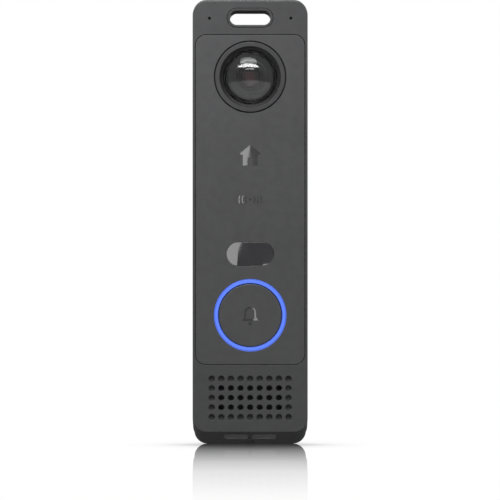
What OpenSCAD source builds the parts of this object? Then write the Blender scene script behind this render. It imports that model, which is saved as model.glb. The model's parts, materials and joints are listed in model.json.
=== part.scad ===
// Video doorbell with two cameras, call button, speaker, network socket and wall plate.
// Millimetres. Every module draws its piece lying on its back: x across, y up the
// face, z the height above the wall. stood_up() then turns it so that +Z is up, the
// front faces -Y and the wall is the plane y = 0.

/* [Body] */
// Width of the front face
body_w = 53; // [51:0.5:56]
// Height of the front face
face_h = 198.5; // [197:0.5:204]
// Height of the front face above the wall
front_z = 26.5; // [26.5:0.1:28]
// Radius of the four long corner edges
corner_r = 6.5; // [6:0.5:7]
// Rise of the top face towards the wall
top_rise = 2.5; // [1.5:0.5:4]
// Drop of the bottom face towards the wall
bottom_drop = 7.2; // [6:0.2:8]
// Side wall thickness of both housings
wall = 2.2; // [2:0.1:2.4]
// Step in from the front housing to the rear housing
rear_step = 0.5; // [0.3:0.1:0.8]

/* [Front panel] */
// Width of the inset panel
panel_w = 50.2; // [48:0.2:50.4]
// Height of the inset panel
panel_h = 151.7; // [150:0.1:153]
// Height of the panel's middle on the face
panel_y = 7.75; // [7.5:0.05:8]
// Corner radius of the panel
panel_r = 4.8; // [4:0.2:6]
// Panel thickness
panel_t = 1.2; // [1:0.1:1.3]

/* [Strap slot] */
// Length of the slot's opening
slot_w = 18.8; // [17:0.1:20]
// Height of the slot's opening
slot_h = 6.45; // [5.5:0.05:7]
// Width of the liner's rim
liner_rim = 1.15; // [1:0.05:1.2]
// Height of the slot on the face
slot_y = 91.5; // [91:0.1:92]

/* [Camera] */
// Height of the lens axis on the face
camera_y = 64.3; // [64:0.1:64.6]
// Outer radius of the bezel
bezel_r = 16.3; // [16:0.1:16.5]
// Radius of the bezel's front opening
bezel_mouth_r = 14.1; // [13.9:0.1:14.2]
// Radius of the dome where it leaves the bezel
dome_r = 12.4; // [12:0.1:12.4]
// Height of the dome above its collar
dome_rise = 6.8; // [6:0.1:7.5]
// Outer radius of the lens barrel
lens_r = 5.65; // [5.4:0.05:5.7]

/* [Call button] */
// Height of the button's axis on the face
button_y = -45.5; // [-45.8:0.1:-45.2]
// Outer radius of the light ring
ring_r = 16.6; // [16.4:0.1:16.8]
// Inner radius of the light ring
ring_bore = 14.75; // [14.6:0.05:14.9]
// Radius of the button cap
cap_r = 14.4; // [14.2:0.05:14.45]

/* [Sensor window] */
// Length of the pill window
window_w = 21.9; // [21:0.1:22.5]
// Height of the pill window
window_h = 10.9; // [10.5:0.1:11.2]
// Height of the window's middle on the face
window_y = -17.3; // [-17.6:0.1:-17]

/* [Speaker] */
// Hole spacing of the grille
grille_pitch = 4.42; // [4.3:0.02:4.5]
// Diameter of the grille holes
grille_d = 2.9; // [2.5:0.1:3.2]
// Height of the grille's middle on the face
grille_y = -83.56; // [-83.8:0.02:-83.4]

/* [Wall fixing] */
// Width of the wall plate
plate_w = 45.2; // [44.8:0.1:45.4]
// Thickness of the wall plate
plate_t = 2.4; // [2.2:0.1:2.5]
// Radius of the wall screw holes
wall_hole_r = 2.2; // [2:0.1:2.5]
// Across spacing of the four wall screws
wall_pitch_x = 30; // [28:1:32]
// Up spacing of the four wall screws
wall_pitch_y = 140; // [136:1:144]
// Spacing of the two wall box screws
box_pitch = 60; // [60:1:61]

/* [Hidden] */
$fn = 48;
far = 400;
cut = 0.5;

// levels above the wall, front to back
front_wall_z = front_z - 2.4;
split_z = 10.5;
board_z = 13;
board_t = 1.6;
floor_z = 9;
recess_z = 7;
rim_z = 0.5;
panel_back_z = front_z - panel_t;

top_tilt = atan(top_rise / (front_z - rim_z));
bottom_tilt = atan(bottom_drop / (front_z - rim_z));
top_y = face_h / 2;
liner_w = slot_w + 2 * liner_rim;
liner_h = slot_h + 2 * liner_rim;
slip = 0.05;

// housing screws, from the rear recess into the front housing
housing_screw_x = 20.8;
housing_screw_ys = [82, 30, -24, -72];
boss_r = 2.6;
screw_r = 1.2;
pilot_r = 1.25;

// main board
board_w = 35.6;
board_top_y = 44;
board_low_y = -66;
board_screws = [[-15.2, 40], [15.2, 40], [-15.2, -25], [15.2, -25], [-15.2, -62.4], [15.2, -62.4]];
board_boss_r = 2.1;

// main camera
camera_screws = [for (x = [-13.6, 13.6], y = [-14.4, 14.4]) [x, camera_y + y]];
camera_boss_r = 1.9;
camera_board_z = 12;
camera_board_t = 1.2;
holder_front_z = 19.2;
shutter_z = 15.4;
shutter_t = 1;
shutter_pitch = 7.6;
shutter_room = 0.3;

// call button
ring_foot_z = 19.9;
ring_board_z = 17.8;
switch_z = board_z + board_t;

// speaker
speaker_w = 30;
speaker_h = 16;
speaker_back_z = 16.5;
speaker_front_z = 22.9;

// network socket
jack_y = 20;
jack_size = 16;
jack_mouth_z = 3.4;

// mounting
plate_top_y = 80;
plate_low_y = -92;
hook_ys = [52, -48];
hook_t = 1.6;
hook_lift = 4;
lock_y_gap = 0.4;
lock_z = 4.5;
lock_r = 1.2;
tamper_x = -7.5;
tamper_y = -62;

// ---------- shared shapes ----------

module stood_up() {
    rotate([90, 0, 0]) children();
}

// a flat outline raised from level z0 to level z1
module layer(z0, z1) {
    translate([0, 0, z0]) linear_extrude(height = z1 - z0) children();
}

module disc(r, z0, z1) {
    translate([0, 0, z0]) cylinder(r = r, h = z1 - z0);
}

module ring(r_out, r_in, z0, z1) {
    difference() {
        disc(r_out, z0, z1);
        disc(r_in, z0 - cut, z1 + cut);
    }
}

module round_rect(w, h, r) {
    square([w, h - 2 * r], center = true);
    square([w - 2 * r, h], center = true);
    for (x = [-1, 1], y = [-1, 1])
        translate([x * (w / 2 - r), y * (h / 2 - r)]) circle(r = r);
}

module pill(w, h) {
    square([w - h, h], center = true);
    for (x = [-1, 1])
        translate([x * (w - h) / 2, 0]) circle(d = h);
}

module block(w, h, z0, z1) {
    translate([-w / 2, -h / 2, z0]) cube([w, h, z1 - z0]);
}

module at_each(spots) {
    for (spot = spots)
        translate([spot[0], spot[1], 0]) children();
}

function housing_screw_spots() = [for (x = [-1, 1], y = housing_screw_ys) [x * housing_screw_x, y]];

// end profile of the body: two rounded corners, open at the far end
module end_profile(inset) {
    w = body_w / 2 - inset;
    r = corner_r - inset;
    translate([-w, -far]) square([2 * w, far - inset - r]);
    translate([r - w, -far]) square([2 * (w - r), far - inset]);
    for (x = [-1, 1])
        translate([x * (w - r), -inset - r]) circle(r = r);
}

// body outline with its sloped top and bottom, offset inwards, between two levels
module body(inset, z0, z1) {
    intersection() {
        translate([0, top_y, front_z]) rotate([top_tilt, 0, 0])
            linear_extrude(height = far / 2, center = true) end_profile(inset);
        translate([0, -top_y, front_z]) rotate([-bottom_tilt, 0, 0])
            linear_extrude(height = far / 2, center = true) mirror([0, 1]) end_profile(inset);
        block(2 * body_w, 2 * face_h, z0, z1);
    }
}

// frame on the sloped bottom face: x across, y along the slope to the wall, z inwards
module on_bottom(x, along) {
    translate([x, -top_y, front_z]) rotate([-90 - bottom_tilt, 0, 0]) translate([0, along, 0])
        children();
}

module grille_hole(column, row, z0, z1) {
    translate([column * grille_pitch, grille_y + row * grille_pitch, 0]) disc(grille_d / 2, z0, z1);
}

// ---------- housings and panel ----------

bottom_window_xs = [-6.4, 6.4];
bottom_window_along = 9.9;
bottom_window_w = 11.2;
bottom_window_l = 9.1;
bottom_window_t = 1.1;

module front_shell() {
    difference() {
        body(0, split_z, front_z);
        body(wall, split_z - cut, front_wall_z);
        difference() {
            body(0.9, split_z - cut, split_z + 0.7);
            body(1.7, split_z - 2 * cut, split_z + 1);
        }
    }
}

module front_bosses() {
    at_each(housing_screw_spots()) disc(boss_r, floor_z, front_wall_z + cut);
    at_each(board_screws) disc(board_boss_r, board_z + board_t, front_wall_z + cut);
    at_each(camera_screws) disc(camera_boss_r, camera_board_z + camera_board_t, front_wall_z + cut);
    translate([0, grille_y, 0]) difference() {
        layer(19, front_wall_z + cut) pill(speaker_w + 2.4, speaker_h + 2.4);
        layer(18, front_wall_z) pill(speaker_w + 0.4, speaker_h + 0.4);
    }
}

module front_openings() {
    translate([0, panel_y, 0]) layer(panel_back_z, front_z + cut)
        round_rect(panel_w + 0.1, panel_h + 0.1, panel_r);
    translate([0, slot_y, 0]) layer(0, front_z + cut) pill(liner_w, liner_h);
    translate([0, camera_y, 0]) disc(bezel_r + slip, front_wall_z - cut, front_z);
    translate([0, window_y, 0]) layer(front_wall_z - cut, front_z) pill(window_w + 0.1, window_h + 0.1);
    translate([0, button_y, 0]) disc(ring_r + slip, front_wall_z - cut, front_z);
    for (x = [-18.75, 18.75])
        translate([x, 91.3, 0]) disc(0.55, front_wall_z - cut, front_z + cut);
    for (column = [-4:4], row = [-2:2])
        if (abs(column) == 4 || abs(row) == 2)
            grille_hole(column, row, front_z - 1.3, front_z + cut);
        else
            grille_hole(column, row, front_wall_z - cut, front_z + cut);
    for (x = bottom_window_xs)
        on_bottom(x, bottom_window_along) {
            layer(-1, bottom_window_t) round_rect(bottom_window_w + 0.1, bottom_window_l + 0.1, 2);
            layer(0, wall + 1) round_rect(bottom_window_w - 2.4, bottom_window_l - 2.4, 1.4);
        }
    at_each(housing_screw_spots()) disc(pilot_r, floor_z - cut, 21);
    at_each(board_screws) disc(0.95, board_z, 21);
    at_each(camera_screws) disc(0.8, camera_board_z, 20);
}

module front_housing() {
    color("#4b4c4e") difference() {
        union() {
            front_shell();
            front_bosses();
        }
        front_openings();
    }
}

module front_panel() {
    color("#545557") difference() {
        translate([0, panel_y, 0]) layer(panel_back_z, front_z) round_rect(panel_w, panel_h, panel_r);
        translate([0, camera_y, 0]) disc(bezel_r + slip, 0, far);
        translate([0, window_y, 0]) layer(0, far) pill(window_w + 0.1, window_h + 0.1);
        translate([0, button_y, 0]) disc(ring_r + slip, 0, far);
        layer(front_z - 0.5, far) {
            house_outline(0.04);
            wave_outline(0.04);
        }
    }
}

module slot_liner() {
    color("#5a5b5d") translate([0, slot_y, 0]) difference() {
        union() {
            layer(rim_z, front_z + 0.1) pill(liner_w - 0.1, liner_h - 0.1);
            layer(floor_z + 1.2, front_wall_z) pill(liner_w + 1.6, liner_h + 1.2);
        }
        layer(-cut, front_z + 1) pill(slot_w, slot_h);
    }
}

module rear_shell() {
    difference() {
        body(rear_step, rim_z, split_z);
        // electronics bay in front of the floor
        body(wall + rear_step, floor_z, split_z + cut);
        // recess for the wall plate behind the floor
        intersection() {
            body(wall + rear_step, rim_z - cut, recess_z);
            block(body_w, 2 * 85, -1, recess_z);
        }
        // bottom of the recess, down to the sloped wall
        intersection() {
            body(wall + rear_step, rim_z - cut, recess_z);
            translate([0, -100, 0]) block(body_w, 50, -1, recess_z);
        }
        // microphone bay above the recess
        intersection() {
            body(wall + rear_step, 2.5, floor_z + cut);
            translate([0, 97, 0]) block(body_w, 20, 2.5, floor_z + cut);
        }
    }
}

module hook_bars() {
    for (y = hook_ys, side = [-1, 1])
        translate([side * 19.95, y + hook_t + 0.3 + hook_lift / 2, 0]) block(8.3, hook_lift, 2.7, 4.7);
}

lock_face_y = -top_y - (front_z - lock_z) * tan(bottom_tilt);
lock_boss_top_y = lock_face_y + 6.8;

// frame of the lock screw: z up the screw from the bottom face
module on_lock() {
    translate([0, lock_face_y, lock_z]) rotate([-90, 0, 0]) children();
}

module rear_housing() {
    color("#434446") difference() {
        union() {
            rear_shell();
            hook_bars();
            intersection() {
                on_lock() disc(3.6, 0.2, 6.8);
                body(rear_step + 1, rim_z, split_z);
            }
        }
        translate([0, slot_y, 0]) layer(0, split_z + cut) pill(liner_w, liner_h);
        translate([0, jack_y, 0]) layer(0, split_z) round_rect(jack_size + 2.4, jack_size + 2.4, 2);
        at_each(housing_screw_spots()) disc(screw_r + 0.15, 0, split_z);
        translate([tamper_x, tamper_y, 0]) disc(1.6, 0, split_z);
        translate([-tamper_x, tamper_y, 0]) disc(1.6, 0, split_z);
        on_lock() {
            disc(lock_r + 0.08, -3, 8);
            disc(2.5, -3, 5);
        }
    }
}

module housing_seal() {
    color("#2b2b2c") difference() {
        body(0.95, split_z, split_z + 0.7);
        body(1.65, split_z - cut, split_z + 1);
    }
}

module housing_screws() {
    color("#9a9ca0") at_each(housing_screw_spots()) {
        difference() {
            disc(2.2, recess_z - 1.5, recess_z);
            layer(recess_z - 1.5 - cut, recess_z - 0.7) circle(r = 1, $fn = 6);
        }
        disc(screw_r, recess_z, 20);
    }
}

// ---------- main camera ----------

module camera_bezel() {
    color("#505153") translate([0, camera_y, 0]) rotate_extrude()
        polygon([
            [bezel_mouth_r + 0.3, bezel_z], [bezel_r - 0.3, bezel_z], [bezel_r, bezel_z - 0.3],
            [bezel_r, front_wall_z], [bezel_r + 1.1, front_wall_z], [bezel_r + 1.1, mask_z - 0.4],
            [flange_r + 0.1, mask_z - 0.4], [flange_r + 0.1, lip_z], [dome_r + 0.1, lip_z],
            [dome_r + 0.1, lip_z + 0.3], [bezel_mouth_r, bezel_z - 0.3]
        ]);
}

bezel_z = front_z + 0.2;
mask_z = 23.3;
flange_z = 24.2;
flange_r = 15;
lip_z = 25.2;
dome_base_z = 25.5;
dome_sphere_r = (dome_r * dome_r + dome_rise * dome_rise) / (2 * dome_rise);
dome_t = 1.5;

// flat section of a ball cap between its base and its top
module cap_section(base_r, sphere_r, base_z, top_z) {
    intersection() {
        translate([0, top_z - sphere_r]) circle(r = sphere_r, $fn = 96);
        translate([0, base_z]) square([base_r, top_z - base_z]);
    }
}

module camera_dome() {
    color("#9fb0b5", 0.4) translate([0, camera_y, 0]) rotate_extrude($fn = 72) difference() {
        union() {
            cap_section(dome_r, dome_sphere_r, dome_base_z, dome_base_z + dome_rise);
            translate([0, flange_z]) square([dome_r, dome_base_z - flange_z]);
            translate([0, flange_z]) square([flange_r, lip_z - flange_z]);
        }
        cap_section(dome_r - dome_t, dome_sphere_r - dome_t, dome_base_z - cut,
            dome_base_z + dome_rise - dome_t);
        translate([0, flange_z - 1]) square([dome_r - dome_t, dome_base_z - flange_z + 1]);
    }
}

module camera_mask() {
    color("#1b1b1d") translate([0, camera_y, 0]) difference() {
        union() {
            disc(flange_r - 0.2, mask_z, flange_z);
            ring(10.7, 8, flange_z, flange_z + 0.5);
        }
        disc(lens_r + 0.15, 23, 26);
        translate([0, -9.2, 0]) disc(0.9, 23, 26);
    }
}

module lens_barrel() {
    color("#202123") translate([0, camera_y, 0]) rotate_extrude()
        difference() {
            translate([0, 17]) square([lens_r, 9.4]);
            translate([0, 23.4]) polygon([[0, 0], [4.1, 0], [4.9, 3.5], [0, 3.5]]);
            translate([0, 22]) square([2.2, 2]);
            translate([0, 16]) square([4, 6.2]);
            for (thread = [0:4])
                translate([lens_r - 0.3, 17.4 + thread * 0.9]) square([1, 0.4]);
        }
}

module lens_front() {
    color("#7d4a4a", 0.6) translate([0, camera_y, 0]) rotate_extrude()
        intersection() {
            translate([0, 15.3]) circle(r = 11, $fn = 96);
            translate([0, 23.4]) polygon([[0, 0], [4.1, 0], [4.75, 2.9], [0, 2.9]]);
        }
}

module lens_rear() {
    color("#8fa0a8", 0.6) translate([0, camera_y, 0]) rotate_extrude()
        difference() {
            translate([0, 17.6]) square([3.95, 3]);
            translate([0, 26]) circle(r = 6.4, $fn = 96);
        }
}

module lens_holder() {
    base_z = camera_board_z + camera_board_t;
    slot_low_z = shutter_z - shutter_room;
    color("#2c2d30") translate([0, camera_y, 0]) difference() {
        union() {
            block(22, 17, base_z, holder_front_z);
            disc(7.6, holder_front_z - cut, holder_front_z + 2.4);
        }
        disc(lens_r, 17, far);
        disc(4.6, base_z, far);
        block(10.4, 9.4, base_z - cut, slot_low_z + cut);
        block(30, 9.6, slot_low_z, shutter_z + shutter_t + shutter_room);
    }
}

module filter_frame() {
    color("#3a3b3e") translate([0, camera_y, 0]) difference() {
        translate([shutter_pitch / 2, 0, 0]) block(2 * shutter_pitch + 1.6, 9, shutter_z,
            shutter_z + shutter_t);
        for (x = [0, shutter_pitch])
            translate([x, 0, 0]) block(6.6, 6.6, shutter_z - cut, far);
    }
}

module filter_glass() {
    color("#6f8f9a", 0.5) translate([0, camera_y, 0])
        for (x = [0, shutter_pitch])
            translate([x, 0, 0]) block(6.6, 6.6, shutter_z + 0.2, shutter_z + 0.8);
}

module image_sensor() {
    top = camera_board_z + camera_board_t;
    color("#33363b") translate([0, camera_y, 0]) union() {
        block(9, 8, top, top + 0.7);
        block(7, 6, top + 0.7 - cut, top + 0.9);
    }
}

module camera_board() {
    top = camera_board_z + camera_board_t;
    color("#1f4d36") difference() {
        translate([0, camera_y, 0]) layer(camera_board_z, top) round_rect(32.4, 33.4, 2);
        at_each(camera_screws) disc(0.9, 0, far);
    }
}

module camera_screws() {
    color("#a5a7aa") at_each(camera_screws) {
        difference() {
            disc(1.7, camera_board_z - 1.2, camera_board_z);
            layer(camera_board_z - 2, camera_board_z - 0.6) circle(r = 0.8, $fn = 6);
        }
        disc(0.75, camera_board_z, 18.6);
    }
}

// ---------- marks, tag antenna and sensor window ----------

house_y = 28.1;
wave_y = 7.8;

// plain house: walls, gable roof and an open doorway
module house_outline(grow) {
    g = grow;
    translate([0, house_y]) difference() {
        polygon([
            [-3.4 - g, -4.6 - g], [3.4 + g, -4.6 - g], [3.4 + g, 0.4], [4.6 + g, 0.4 - g], [4.6 + g, 1.1],
            [0, 4.85 + g], [-4.6 - g, 1.1], [-4.6 - g, 0.4 - g], [-3.4 - g, 0.4]
        ]);
        polygon([
            [-1.2 + g, -5], [1.2 - g, -5], [1.2 - g, -1 - g], [-1.2 + g, -1 - g]
        ]);
    }
}

// three arcs opening to the right of a dot
wave_radii = [2.0, 3.45, 4.9];
wave_angles = [40, 29, 20.5];

module wave_outline(grow) {
    translate([0, wave_y]) {
        circle(r = 0.55 + grow);
        for (side = [0, 180], i = [0:2])
            rotate(side) intersection() {
                difference() {
                    circle(r = wave_radii[i] + 0.45 + grow);
                    circle(r = wave_radii[i] - grow);
                }
                polygon([[0, 0], [7, -7 * tan(wave_angles[i]) - grow], [7, 7 * tan(wave_angles[i]) + grow]]);
            }
    }
}

module house_inlay() {
    color("#2f3032") layer(front_z - 0.5, front_z + 0.05) house_outline(0);
}

module wave_inlay() {
    color("#2f3032") layer(front_z - 0.5, front_z + 0.05) wave_outline(0);
}

module tag_antenna() {
    color("#8a5a2b") translate([0, 19, 0]) {
        layer(front_wall_z - 0.2, front_wall_z) round_rect(25, 36, 2);
        for (turn = [0:3])
            layer(front_wall_z - 0.3, front_wall_z - 0.2) difference() {
                round_rect(23.6 - 2.2 * turn, 34.6 - 2.2 * turn, 1.8 - 0.3 * turn);
                round_rect(22.4 - 2.2 * turn, 33.4 - 2.2 * turn, 1.3 - 0.3 * turn);
            }
    }
}

module sensor_window() {
    color("#161618") translate([0, window_y, 0]) {
        layer(front_wall_z, front_z) pill(window_w, window_h);
        layer(front_wall_z - 0.8, front_wall_z) pill(window_w + 2.4, window_h + 2.4);
    }
}

module sensor_holder() {
    color("#2a2b2d") translate([0, window_y, 0]) difference() {
        layer(switch_z, 21.4) round_rect(21, 10, 1.5);
        for (x = [-6.4, 6.4])
            translate([x, 0, 0]) disc(2.6, 15.4, far);
        layer(18, far) round_rect(5, 5, 0.6);
    }
}

module infrared_leds() {
    color("#8c7f96") translate([0, window_y, 0])
        for (x = [-6.4, 6.4])
            translate([x, 0, 0]) rotate_extrude() union() {
                translate([0, 15.4]) square([2.5, 4.6]);
                translate([0, 20]) intersection() {
                    circle(r = 2.5);
                    square([2.5, 2.5]);
                }
            }
}

// ---------- call button and light ring ----------

module light_ring() {
    color("#6a86ff") translate([0, button_y, 0]) rotate_extrude($fn = 72) polygon([
        [ring_bore, 22], [ring_bore, front_z - 0.1], [ring_bore + 0.2, front_z + 0.1],
        [ring_r - 0.2, front_z + 0.1], [ring_r, front_z - 0.1], [ring_r, front_wall_z],
        [ring_r + 1.4, front_wall_z], [ring_r + 1.4, 23],
        [ring_r + 1, 23], [ring_r + 1, ring_foot_z], [16.1, ring_foot_z], [16.1, 22]
    ]);
}

module ring_board() {
    color("#1f4d36") translate([0, button_y, 0]) {
        ring(18.3, 13, ring_board_z, ring_board_z + 1);
        // header pins standing on the main board
        for (turn = [45:90:315])
            rotate(turn) translate([15.2, 0, 0]) disc(1, switch_z, ring_board_z + cut);
    }
}

module ring_leds() {
    color("#e8e6d8") translate([0, button_y, 0])
        for (turn = [0:30:330])
            rotate(turn) translate([16.8, 0, 0]) block(1.4, 2.4, ring_board_z + 1, ring_board_z + 1.8);
}

module button_cap() {
    color("#47484a") translate([0, button_y, 0]) difference() {
        union() {
            rotate_extrude($fn = 72) polygon([
                [0, 19.6], [2.5, 19.6], [2.5, 24.5], [cap_r - 1.5, 24.5], [cap_r - 1.5, 20.3],
                [cap_r + 0.6, 20.3], [cap_r + 0.6, 21.3], [cap_r, 21.3], [cap_r, 26.2],
                [cap_r - 0.4, 26.6], [0, 26.6]
            ]);
        }
        layer(26.1, far) bell_outline(0.04);
    }
}

// plain outline bell: domed body on a wider foot, with a clapper below
module bell_outline(grow) {
    stroke = 0.75;
    difference() {
        bell_body(2.7 + grow, 3.7 + grow, -2.4 - grow);
        bell_body(2.7 - stroke - grow, 2.7 - stroke - grow, -2.4 + stroke + grow);
    }
    translate([0, -3.7]) circle(r = 0.75 + grow);
}

module bell_body(r, foot_r, foot_y) {
    translate([0, 1.3]) circle(r = r);
    translate([-r, foot_y]) square([2 * r, 1.3 - foot_y]);
    polygon([[-foot_r, foot_y], [foot_r, foot_y], [r, foot_y + 1.6], [-r, foot_y + 1.6]]);
}

module bell_inlay() {
    color("#232325") translate([0, button_y, 0]) layer(26.1, 26.62) bell_outline(0);
}

module button_pad() {
    pad_t = 0.6;
    color("#6d6f72") translate([0, button_y, 0]) rotate_extrude() polygon([
        [9.4, switch_z], [11.8, switch_z], [11.8, switch_z + 1], [10.2, switch_z + 1],
        [5, 19.3], [0, 19.3], [0, 19.3 - pad_t], [4.6, 19.3 - pad_t], [9.4, switch_z + 0.8]
    ]);
}

module button_switch() {
    color("#26272a") translate([0, button_y, 0]) difference() {
        union() {
            block(6, 6, switch_z, switch_z + 2.6);
            for (x = [-3.4, 3.4], y = [-2.2, 2.2])
                translate([x, y, 0]) block(1.2, 0.8, switch_z, switch_z + 0.4);
        }
        disc(1.76, switch_z + 1, far);
    }
}

module switch_stem() {
    color("#7a3f2c") translate([0, button_y, 0]) disc(1.7, switch_z + 1.4, 18.4);
}

// ---------- speaker and microphones ----------

module on_speaker() {
    translate([0, grille_y, 0]) children();
}

module speaker_mesh() {
    color("#2d2e30") on_speaker() layer(front_wall_z - 0.2, front_wall_z) pill(speaker_w, speaker_h);
}

module speaker_gasket() {
    color("#3b3b3c") on_speaker() difference() {
        layer(speaker_front_z, front_wall_z - 0.2) pill(speaker_w, speaker_h);
        layer(speaker_front_z - cut, far) pill(speaker_w - 4, speaker_h - 4);
    }
}

module speaker_frame() {
    color("#242527") on_speaker() difference() {
        layer(speaker_back_z, speaker_front_z) pill(speaker_w, speaker_h);
        layer(speaker_back_z + 1, far) pill(speaker_w - 3.2, speaker_h - 3.2);
        disc(6.05, 0, far);
        for (x = [-10.2, 10.2])
            translate([x, 0, 0]) disc(1.8, 0, 20);
    }
}

module speaker_surround() {
    color("#4a4a4c") on_speaker() difference() {
        layer(22, 22.4) pill(speaker_w - 3.2, speaker_h - 3.2);
        layer(21, 23) pill(21.6, 7.6);
    }
}

module speaker_cone() {
    color("#5c5348") on_speaker() union() {
        layer(21.6, 22) pill(22.4, 8.4);
        layer(22 - 0.1, 22.4) pill(21.6, 7.6);
        disc(2.4, 22, 22.8);
    }
}

module voice_coil() {
    color("#b06a35") on_speaker() ring(3.65, 3.3, 18.6, 21.6);
}

module speaker_magnet() {
    color("#8b8d92") on_speaker() difference() {
        disc(6, 16, 20.4);
        ring(4.1, 2.85, 17.4, far);
    }
}

mic_spots = [[-18.75, 91.3], [18.75, 91.3]];

module mic_gaskets() {
    color("#3b3b3c") at_each(mic_spots) ring(2.6, 0.8, 23.2, front_wall_z);
}

module microphones() {
    color("#b9b7a6") at_each(mic_spots) union() {
        ring(2.2, 0.4, 22, 23.2);
        disc(2.6, 21.2, 22);
    }
}

// ---------- main board ----------

module main_board() {
    mid_y = (board_top_y + board_low_y) / 2;
    color("#1f4d36") difference() {
        translate([0, mid_y, 0]) layer(board_z, switch_z)
            round_rect(board_w, board_top_y - board_low_y, 2);
        at_each(board_screws) disc(1.1, 0, far);
        translate([0, jack_y, 0]) block(jack_size + 0.2, jack_size + 0.2, 0, far);
    }
}

// [x, y, width, height, thickness] of packages on the rear side of the board
rear_chips = [
    [-11.5, 2, 7, 7, 0.9], [0.5, 3, 9, 9, 1.1], [11.5, 1, 6, 8, 1], [-12.5, -14, 4, 5, 0.9],
    [12.5, -12, 4, 6, 0.9], [0, -52, 8, 6, 1], [-9, 36, 8, 5, 1], [6, 36.5, 10, 6, 1.1],
    [0, -30, 14, 14, 1.2], [7.5, -62, 4, 3, 1.3]
];
// the same for packages on the front side
front_chips = [
    [-8, 36, 9, 9, 1.2], [6, 36, 11, 8, 1.2], [-14, -8, 4, 4, 0.8], [14, -6, 4, 6, 0.8],
    [-8, -64, 5, 2, 0.8], [8, -64, 5, 2, 0.8]
];

module board_chips() {
    color("#1d1e21") {
        for (chip = rear_chips)
            translate([chip[0], chip[1], 0]) block(chip[2], chip[3], board_z - chip[4], board_z);
        for (chip = front_chips)
            translate([chip[0], chip[1], 0]) block(chip[2], chip[3], switch_z, switch_z + chip[4]);
    }
}

can_y = -30;

module shield_can() {
    color("#b4b6b9") translate([0, can_y, 0]) difference() {
        block(25, 25, 10.8, board_z);
        block(24.4, 24.4, 11.1, board_z + cut);
        for (x = [-8, 0, 8], y = [-8, 0, 8])
            translate([x, y, 0]) disc(0.6, 0, 12);
    }
}

module thermal_pad() {
    color("#9aa7b5") translate([0, can_y, 0]) block(20, 20, 9.8, 10.8);
}

module heat_spreader() {
    color("#a9abae") translate([0, can_y, 0]) layer(floor_z, 9.8) round_rect(31, 47, 3);
}

module power_parts() {
    color("#3c4a63") {
        translate([-8.5, -1.5, 0]) {
            block(10, 8, switch_z, switch_z + 1.2);
            block(8, 8.6, switch_z + 1.2, 19.6);
            block(10, 8, 19.6, 20.8);
        }
        for (spot = [[4, 0.5], [10.6, 0.5]])
            translate([spot[0], spot[1], 0]) {
                disc(3, switch_z, switch_z + 0.6);
                disc(2.8, switch_z + 0.6, 21.8);
            }
    }
}

module board_screws() {
    color("#a5a7aa") at_each(board_screws) {
        difference() {
            disc(1.9, board_z - 1.3, board_z);
            layer(board_z - 2, board_z - 0.6) circle(r = 0.9, $fn = 6);
        }
        disc(0.9, board_z, 19);
    }
}

// ---------- network socket ----------

socket_front_z = 17;
socket_bore_w = 11.9;
socket_bore_h = 7.2;

module network_socket() {
    color("#8f9194") translate([0, jack_y, 0]) difference() {
        block(jack_size, jack_size, jack_mouth_z, socket_front_z);
        translate([0, 1.4, 0]) block(socket_bore_w, socket_bore_h, jack_mouth_z - cut, 15.6);
        translate([0, -3.4, 0]) block(6.2, 3, jack_mouth_z - cut, 12);
        translate([0, -5.6, 0]) block(3.4, 2.2, jack_mouth_z - cut, 12);
    }
}

module socket_contacts() {
    color("#d8b35a") translate([0, jack_y, 0])
        for (pin = [0:7])
            translate([(pin - 3.5) * 1.02, 4.6, 0]) block(0.45, 0.7, 7, 15.5);
}

module socket_seal() {
    color("#2b2b2c") translate([0, jack_y, 0]) difference() {
        union() {
            layer(recess_z, floor_z) round_rect(jack_size + 2.36, jack_size + 2.36, 1.98);
            layer(floor_z, floor_z + 1) round_rect(jack_size + 5, jack_size + 5, 3);
            layer(recess_z - 1, recess_z) round_rect(jack_size + 5, jack_size + 5, 3);
        }
        block(jack_size + 0.02, jack_size + 0.02, 0, far);
    }
}

// ---------- parcel camera and lamp in the sloped bottom ----------

module bottom_pane() {
    layer(0.02, bottom_window_t) round_rect(bottom_window_w, bottom_window_l, 2);
    layer(bottom_window_t, bottom_window_t + 0.3)
        round_rect(bottom_window_w - 2.6, bottom_window_l - 2.6, 1.3);
}

module package_window() {
    color("#1c1c1e") on_bottom(bottom_window_xs[0], bottom_window_along) bottom_pane();
}

module lamp_window() {
    color("#c9ccd0", 0.6) on_bottom(bottom_window_xs[1], bottom_window_along) bottom_pane();
}

module package_camera() {
    color("#2c2d30") on_bottom(bottom_window_xs[0], bottom_window_along) difference() {
        union() {
            block(8.4, 7.6, wall + 0.9, 6.4);
            disc(2.9, 1.5, wall + 0.2);
            block(10.4, 8.4, wall + 0.01, wall + 0.9);
        }
        translate([0, 0, 1.4]) cylinder(r1 = 2.3, r2 = 1.2, h = 1.1);
    }
}

module package_lamp() {
    color("#e8e6d8") on_bottom(bottom_window_xs[1], bottom_window_along) union() {
        for (x = [-2, 2])
            translate([x, 0, 0]) block(2.8, 2.8, 1.6, wall + 0.2);
        block(10.4, 8.4, wall + 0.01, wall + 0.9);
    }
}

// ---------- wall plate, lock screw, tamper switch and reset button ----------

wall_screws = [for (x = [-1, 1], y = [-1, 1]) [x * wall_pitch_x / 2, y * wall_pitch_y / 2]];
box_screws = [for (y = [-1, 1]) [0, jack_y + y * box_pitch / 2]];

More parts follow.
